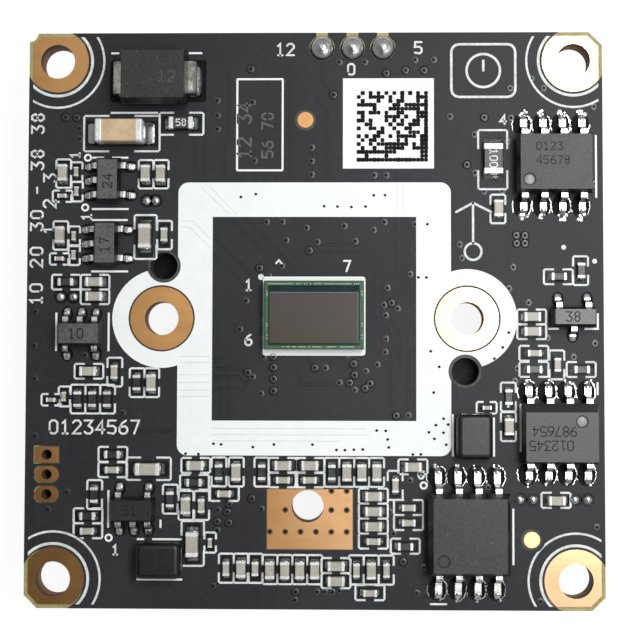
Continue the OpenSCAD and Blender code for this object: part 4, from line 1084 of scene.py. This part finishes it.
class CAMERAMODULE_OT_chips(BuildOperator):
    """Rounds the ceramic chips and gives each its own hollow solder joints"""
    bl_idname = "camera_module.chips"
    bl_label = "Ceramic Chips"

    def execute(self, context):
        chance = spark()
        joints = Piece()
        film = Piece()
        for title, bodies, ends, body_finish, reach, rounding in CHIP_KINDS:
            chips = Piece()
            for low, high in islands(bodies):
                plate = Vector((PLATE_T, PLATE_T, PLATE_T))
                chips.soft_box(low, high, rounding, 0)
                flip = upright(low, high)
                a, b = turned(low - plate, high + plate, flip)
                length, width, height = b.x - a.x, b.y - a.y, b.z - a.z
                end = min(length * END_SHARE, END_MAX)
                middle = (a.y + b.y) / 2
                for sign, face in ((-1, a.x), (1, b.x)):
                    inner = face - sign * end
                    c, d = turned(Vector((min(face, inner), a.y, a.z)),
                                  Vector((max(face, inner), b.y, b.z)), flip)
                    chips.soft_box(c, d, rounding * 1.2, 1)
                    climb = height * chance.uniform(0.5, 0.72)
                    spread = width / 2 * chance.uniform(0.98, 1.1)
                    far = reach * chance.uniform(0.55, 0.8)
                    solder_run(joints, face, middle, sign, flip, [
                        (-end, width * 0.46, 0.05), (-0.01, width * 0.49, 0.06),
                        (0.0, spread, climb + 0.05), (far * 0.2, spread, climb * 0.45 + 0.05),
                        (far * 0.45, spread, climb * 0.15 + 0.07),
                        (far * 0.9, spread * 0.92, 0.04), (far, spread * 0.75, 0.012),
                    ], int(bodies == "large_capacitor_body"))
                # A dark film round each chip, partly flux residue and partly painted shade round its
                # joints.
                c, d = turned(Vector((a.x - reach - 0.1, a.y - 0.1, 0)),
                              Vector((b.x + reach + 0.1, b.y + 0.1, 0)), flip)
                film.prism(rounded_box(c.x, c.y, d.x, d.y, 0.12), FRONT_Z, FRONT_Z + FILM_T)
            chips.make(title, [body_finish, "chip_end"], (bodies, ends))
        for low, high in islands("coil_ends"):
            joints.prism(rounded_box(low.x, low.y, high.x, high.y, 0.05), FRONT_Z, low.z)
        joints.make("Chip Joints", ["fillet", "solder"], ("chip_solder",))
        # A dark disc near the back face inside each hole of the spare header makes the hole look dark.
        for low, high in islands("spare_header_pads"):
            x, y = middle_of(low, high)
            film.disc(x, y, HEADER_HOLE_R, BOARD_LOW.z + 0.1, BOARD_LOW.z + 0.12, 1)
        # A dark ring round each spare pad's solder, partly flux and partly painted shade.
        for low, high in islands("spare_pad_solder"):
            x, y = middle_of(low, high)
            film.disc(x, y, (high.x - low.x) / 2 + 0.2, FRONT_Z, FRONT_Z + FILM_T)
        film.make("Chip Flux And Shade", ["thin_flux_and_shade", "hole_dark"])
        return {"FINISHED"}


# How far a lead's solder runs on beyond its foot.
TOE = 0.3
# The profile of a bead of solder, as shares of its radius: radius, height.
BEAD = [(1.0, 0.0), (0.9, 0.25), (0.4, 0.5)]


class CAMERAMODULE_OT_leads(BuildOperator):
    """Flows solder round the feet of the bent leads"""
    bl_idname = "camera_module.leads"
    bl_label = "Lead Joints"

    def execute(self, context):
        chance = spark()
        bodies = []
        for node in ("upper_driver_body", "lower_driver_body", "flash_body", "regulator_bodies",
                     "transistor_body", "diode_body"):
            bodies += [((low + high) / 2, node) for low, high in islands(node)]
        joints = Piece()
        film = Piece()
        arcs = Piece()
        for low, high in islands("lead_solder"):
            centre = (low + high) / 2
            body, node = min(bodies, key=lambda item: (item[0].xy - centre.xy).length)
            flip = upright(low, high) and node != "diode_body"
            large = "driver" in node or node == "flash_body"
            a, b = turned(low, high, flip)
            length, half = b.x - a.x, (b.y - a.y) / 2
            home = body.y if flip else body.x
            sign = 1 if (a.x + b.x) / 2 > home else -1
            start = a.x if sign > 0 else b.x
            middle = (a.y + b.y) / 2
            foot = length - TOE
            rise = b.z - FRONT_Z
            wide = half * chance.uniform(1.0, 1.14)
            over = rise * chance.uniform(1.15, 1.3) if large else rise * 0.95
            solder_run(joints, start, middle, sign, flip, [
                (-0.06, half * 0.7, 0.03), (0.05, wide * 0.95, 0.1),
                (foot * 0.5, wide * 1.05, 0.12), (foot * 0.72, wide, rise * 0.9),
                (foot * 0.88, wide, over), (foot + TOE * 0.2, wide * 0.98, over * 0.8),
                (foot + TOE * 0.45, wide * 0.95, rise * 0.6),
                (foot + TOE * 0.8, wide * 0.85, rise * 0.3), (length, wide * 0.5, 0.015),
            ])
            # Dark films round the joints, partly flux residue and partly painted shade.
            if node == "diode_body":
                film.prism(rounded_box(low.x - 0.1, low.y - 0.3, high.x + 0.25, high.y + 0.4, 0.2),
                           FRONT_Z, FRONT_Z + FLUX_SHADE_T)
                continue
            back, margin = (0.45, 0.3) if large else (0.2, 0.16)
            mid = start + sign * (length - back) / 2
            rx, ry = (length + back) / 2 + 0.12, half + margin
            cx, cy = (middle, mid) if flip else (mid, middle)
            rx, ry = (ry, rx) if flip else (rx, ry)
            if large:
                cx -= 0.1
                rx += 0.05
            film.prism(oval(cx, cy, rx, ry, 24), FRONT_Z, FRONT_Z + FLUX_SHADE_T)
            if not (flip and large):
                continue
            for first, span in (
                (chance.uniform(-80, -30), 75), (chance.uniform(10, 50), 35), (160, 50),
            ):
                rim = oval(cx, cy, rx + 0.03, ry + 0.03, 7, first, first + span)
                uneven = [(x + chance.uniform(-0.04, 0.04), y + chance.uniform(-0.04, 0.04))
                          for x, y in rim]
                arcs.ribbon(uneven, chance.uniform(0.03, 0.06), FRONT_Z, FRONT_Z + 0.03)
            count, stray, widest = (7, 0.34, 0.24) if node == "upper_driver_body" else (3, 0.18, 0.16)
            for _ in range(count):
                x = middle + chance.uniform(-0.26, 0.26)
                y = start + sign * (length + chance.uniform(-0.12, stray))
                r = chance.uniform(0.12, widest)
                arcs.mound(x, y, BEAD, FRONT_Z, r, r, 0, 10)
        joints.make("Lead Joints", ["solder"], ("lead_solder",))
        film.make("Lead Flux And Shade", ["flux_and_shade"])
        arcs.make("Joint Rims", ["fillet"])
        return {"FINISHED"}


# A marked number: how far below the body's top it starts, and its whole thickness.
MARK = (0.006, 0.009)
CODE = (0.004, 0.01)
FIRST_LEAD_MARKS = [
    # body, its round mark from the nearest corner, the mark's material slot or 0 for a ring alone
    ("upper_driver_body", 0.75, 0.8, 2), ("lower_driver_body", -1.17, -1.15, 2),
    ("flash_body", 0.95, 1.03, 0),
]
# The floor of the round recess: radius, height over a foot that lies this deep under the top.
RECESS = [(0.34, 0.0), (0.3, 0.02), (0.15, 0.05), (0.03, 0.06)]
RECESS_DEPTH = 0.085


def marked(piece, words, x, y, top, height, turn, pen=0.08, mark=MARK, slot=1, advance=WIDE_SET):
    """Digits in the top of a body."""
    number(piece, words, x, y, height, turn, pen, top - mark[0], mark[1], slot, advance)


class CAMERAMODULE_OT_bodies(BuildOperator):
    """Marks the moulded bodies and rounds the coils"""
    bl_idname = "camera_module.bodies"
    bl_label = "Bodies and Coils"

    def execute(self, context):
        coils = Piece()
        for low, high in islands("coil_cases"):
            coils.soft_box(low, high, 0.34, 0, 6)
        coils.make("Coils", ["coil_case"], ("coil_cases",))
        marks = Piece()
        low, high = node_box("upper_driver_body")
        for words, drop in (("0123", 1.2), ("45678", 2.1)):
            marked(marks, words, low.x + 1.2, high.y - drop, high.z, 0.5, 0, 0.07)
        low, high = node_box("lower_driver_body")
        for words, inset, rise in (("987654", 1.55, 2.42), ("012345", 1.75, 1.51)):
            marked(marks, words, high.x - inset, low.y + rise, high.z, 0.6, 180, advance=1.2)
        low, high = node_box("diode_body")
        marked(marks, "12", low.x + 2.6, low.y + 1.2, high.z, 0.7, 0, 0.09, slot=0)
        for node, across, up, slot in FIRST_LEAD_MARKS:
            low, high = node_box(node)
            x = (low.x if across > 0 else high.x) + across
            y = (low.y if up > 0 else high.y) + up
            # The recess's pale grey floor is a painted highlight.
            if slot:
                marks.mound(x, y, RECESS, high.z - RECESS_DEPTH, slot=slot)
            ring = oval(x, y, 0.38, 0.38, 28)
            marks.ribbon(ring, 0.06, high.z - MARK[0], high.z + 0.004, 1, closed=True)
        for k, (low, high) in enumerate(islands("regulator_bodies") + islands("transistor_body")):
            x, y = middle_of(low, high)
            if upright(low, high):
                marked(marks, str(10 + 7 * k), x + 0.3, y - 0.6, high.z, 0.6, 90)
            else:
                marked(marks, str(10 + 7 * k), x - 0.6, y - 0.3, high.z, 0.6, 0)
        marks.make("Body Marks", ["laser_mark", "burnt_mark", "pin_mark_highlight"])
        codes = Piece()
        for low, high in islands("marked_resistor_bodies"):
            x, y = middle_of(low, high)
            if upright(low, high):
                marked(codes, "100", x - 0.24, y + 0.58, high.z, 0.48, 270, 0.08, CODE, 0)
            else:
                marked(codes, "58", x - 0.3, y - 0.21, high.z, 0.42, 0, 0.07, CODE, 0)
        codes.make("Resistor Codes", ["worn_print"])
        return {"FINISHED"}


# Radius of the solder inside a pin's plated hole.
BARREL_R = 0.42


class CAMERAMODULE_OT_plug(BuildOperator):
    """Smooths the round joints of the plug's pins"""
    bl_idname = "camera_module.plug"
    bl_label = "Round Joints"

    def execute(self, context):
        chance = spark()
        joints = Piece()
        for low, high in islands("plug_solder"):
            x, y = middle_of(low, high)
            r = (high.x - low.x) / 2
            h = high.z - FRONT_Z
            joints.lathe(x, y, [
                (r, low.z), (r, low.z + 0.05), (BARREL_R, low.z + 0.06), (BARREL_R, FRONT_Z - 0.06),
                (r, FRONT_Z - 0.05), (r, FRONT_Z), (r * 0.97, FRONT_Z + h * 0.2),
                (r * 0.86, FRONT_Z + h * 0.45), (r * 0.68, FRONT_Z + h * 0.68),
                (r * 0.48, FRONT_Z + h * 0.83), (r * 0.36, FRONT_Z + h * 0.9),
                (r * 0.3, FRONT_Z + h * chance.uniform(0.97, 1.0)), (0.05, FRONT_Z + h),
            ], 0, 28)
        joints.make("Plug Joints", ["solder"], ("plug_solder",))
        return {"FINISHED"}


# ---- Stage ----

# In metres, but for the camera's turn in degrees and its lens in millimetres.
FLOOR_SPAN = 1.5
FLOOR_GAP = 0.00002
CAMERA_PLACE = (0.001895, -0.003625, 0.086081)
CAMERA_TURN = (2.393, 1.018, 0.121)
LENS = 72.684
SOFTBOXES = [
    # name, place, size, share of the lamp power
    ("Key_Softbox", (0.034, 0.041, 0.086), (0.027, 0.027), 0.44),
    ("Fill_Softbox", (0.034, 0.0, 0.086), (0.039, 0.039), 0.5),
]


def aim(made, target):
    """Turns a lamp to a place."""
    way = Vector(target) - made.location
    made.rotation_euler = way.to_track_quat("-Z", "Y").to_euler()


class CAMERAMODULE_OT_stage(BuildOperator):
    """Sets the floor, the lamps, the sky and the camera"""
    bl_idname = "camera_module.stage"
    bl_label = "Stage"

    def execute(self, context):
        scene = context.scene
        mesh = bpy.data.meshes.new("Floor")
        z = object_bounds()[0][2] - FLOOR_GAP
        corners = [(-1, -1), (1, -1), (1, 1), (-1, 1)]
        mesh.from_pydata([(FLOOR_SPAN * x, FLOOR_SPAN * y, z) for x, y in corners], [],
                         [(0, 1, 2, 3)])
        floor = bpy.data.objects.new("Floor", mesh)
        scene.collection.objects.link(floor)
        paint = Finish("Studio Floor")
        ray = paint.node("ShaderNodeLightPath")
        seen = paint.math("MAXIMUM", ray.outputs["Is Camera Ray"], ray.outputs["Is Glossy Ray"])
        seen = paint.math("MAXIMUM", seen, ray.outputs["Is Transmission Ray"])
        pale = paint.mix(paint.noise(3.0) * 0.1, [*settings().floor_colour, 1.0], rgb("#ffffff"))
        paint.set(
            Base_Color=paint.mix(seen, pale, rgb("#808080")), Roughness=0.9,
            Emission_Color=paint.mix(seen, rgb("#000000"), rgb("#f3f3f3")), Emission_Strength=1.0,
        )
        mesh.materials.append(paint.material)
        floor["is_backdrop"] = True

        for name, place, size, share in SOFTBOXES:
            lamp = bpy.data.lights.new(name, "AREA")
            lamp.shape = "RECTANGLE"
            lamp.size, lamp.size_y = size
            lamp.energy = settings().lamp_power * share
            box = bpy.data.objects.new(name, lamp)
            scene.collection.objects.link(box)
            box.location = place
            aim(box, (0.0, 0.0, 0.0))

        world = bpy.data.worlds.new("Studio Sky")
        scene.world = world
        sky = Tree(world)
        x, y, z = sky.axes(sky.node("ShaderNodeTexCoord").outputs["Generated"])
        side = sky.clamp(x * 1.1 + y * 0.55, -0.27, -0.09)
        above = sky.mix(side, rgb("#141517"), rgb("#f0f2f2"))
        height = sky.clamp(z, 0.5, 0.92)
        lit = sky.mix(height, rgb("#888a8d"), above)
        seen = Number(sky, sky.node("ShaderNodeLightPath").outputs["Is Camera Ray"])
        sky.feed(sky.nodes["Background"].inputs["Color"], sky.mix(seen, lit, rgb("#ffffff")))
        sky.feed(sky.nodes["Background"].inputs["Strength"], settings().sky_level)

        lens = bpy.data.cameras.new("Camera")
        lens.lens = LENS
        lens.sensor_width = 36.0
        lens.clip_start = 0.005
        camera = bpy.data.objects.new("Camera", lens)
        scene.collection.objects.link(camera)
        camera.location = CAMERA_PLACE
        camera.rotation_euler = Euler([math.radians(a) for a in CAMERA_TURN], "XYZ")
        scene.camera = camera
        scene.view_settings.view_transform = "Standard"
        return {"FINISHED"}


OPERATORS = (
    CAMERAMODULE_OT_surfaces, CAMERAMODULE_OT_relief, CAMERAMODULE_OT_print, CAMERAMODULE_OT_sensor,
    CAMERAMODULE_OT_chips, CAMERAMODULE_OT_leads, CAMERAMODULE_OT_bodies, CAMERAMODULE_OT_plug,
    CAMERAMODULE_OT_stage,
)


class CAMERAMODULE_PT_panel(bpy.types.Panel):
    """Lists the builders and their settings"""
    bl_label = "Camera Module"
    bl_idname = "CAMERAMODULE_PT_panel"
    bl_space_type = "VIEW_3D"
    bl_region_type = "UI"
    bl_category = "Camera Module"

    def draw(self, context):
        layout = self.layout
        values = context.scene.camera_module
        for name in Settings.__annotations__:
            layout.prop(values, name)
        for operator in OPERATORS:
            layout.operator(operator.bl_idname)


def register():
    bpy.utils.register_class(Settings)
    for cls in OPERATORS + (CAMERAMODULE_PT_panel,):
        bpy.utils.register_class(cls)
    bpy.types.Scene.camera_module = bpy.props.PointerProperty(type=Settings)


def unregister():
    del bpy.types.Scene.camera_module
    for cls in (CAMERAMODULE_PT_panel,) + OPERATORS[::-1]:
        bpy.utils.unregister_class(cls)
    bpy.utils.unregister_class(Settings)


def main():
    """Registers the add-on and runs each builder."""
    register()
    for operator in OPERATORS:
        group, name = operator.bl_idname.split(".")
        getattr(getattr(bpy.ops, group), name)()


if __name__ == "__main__":
    main()
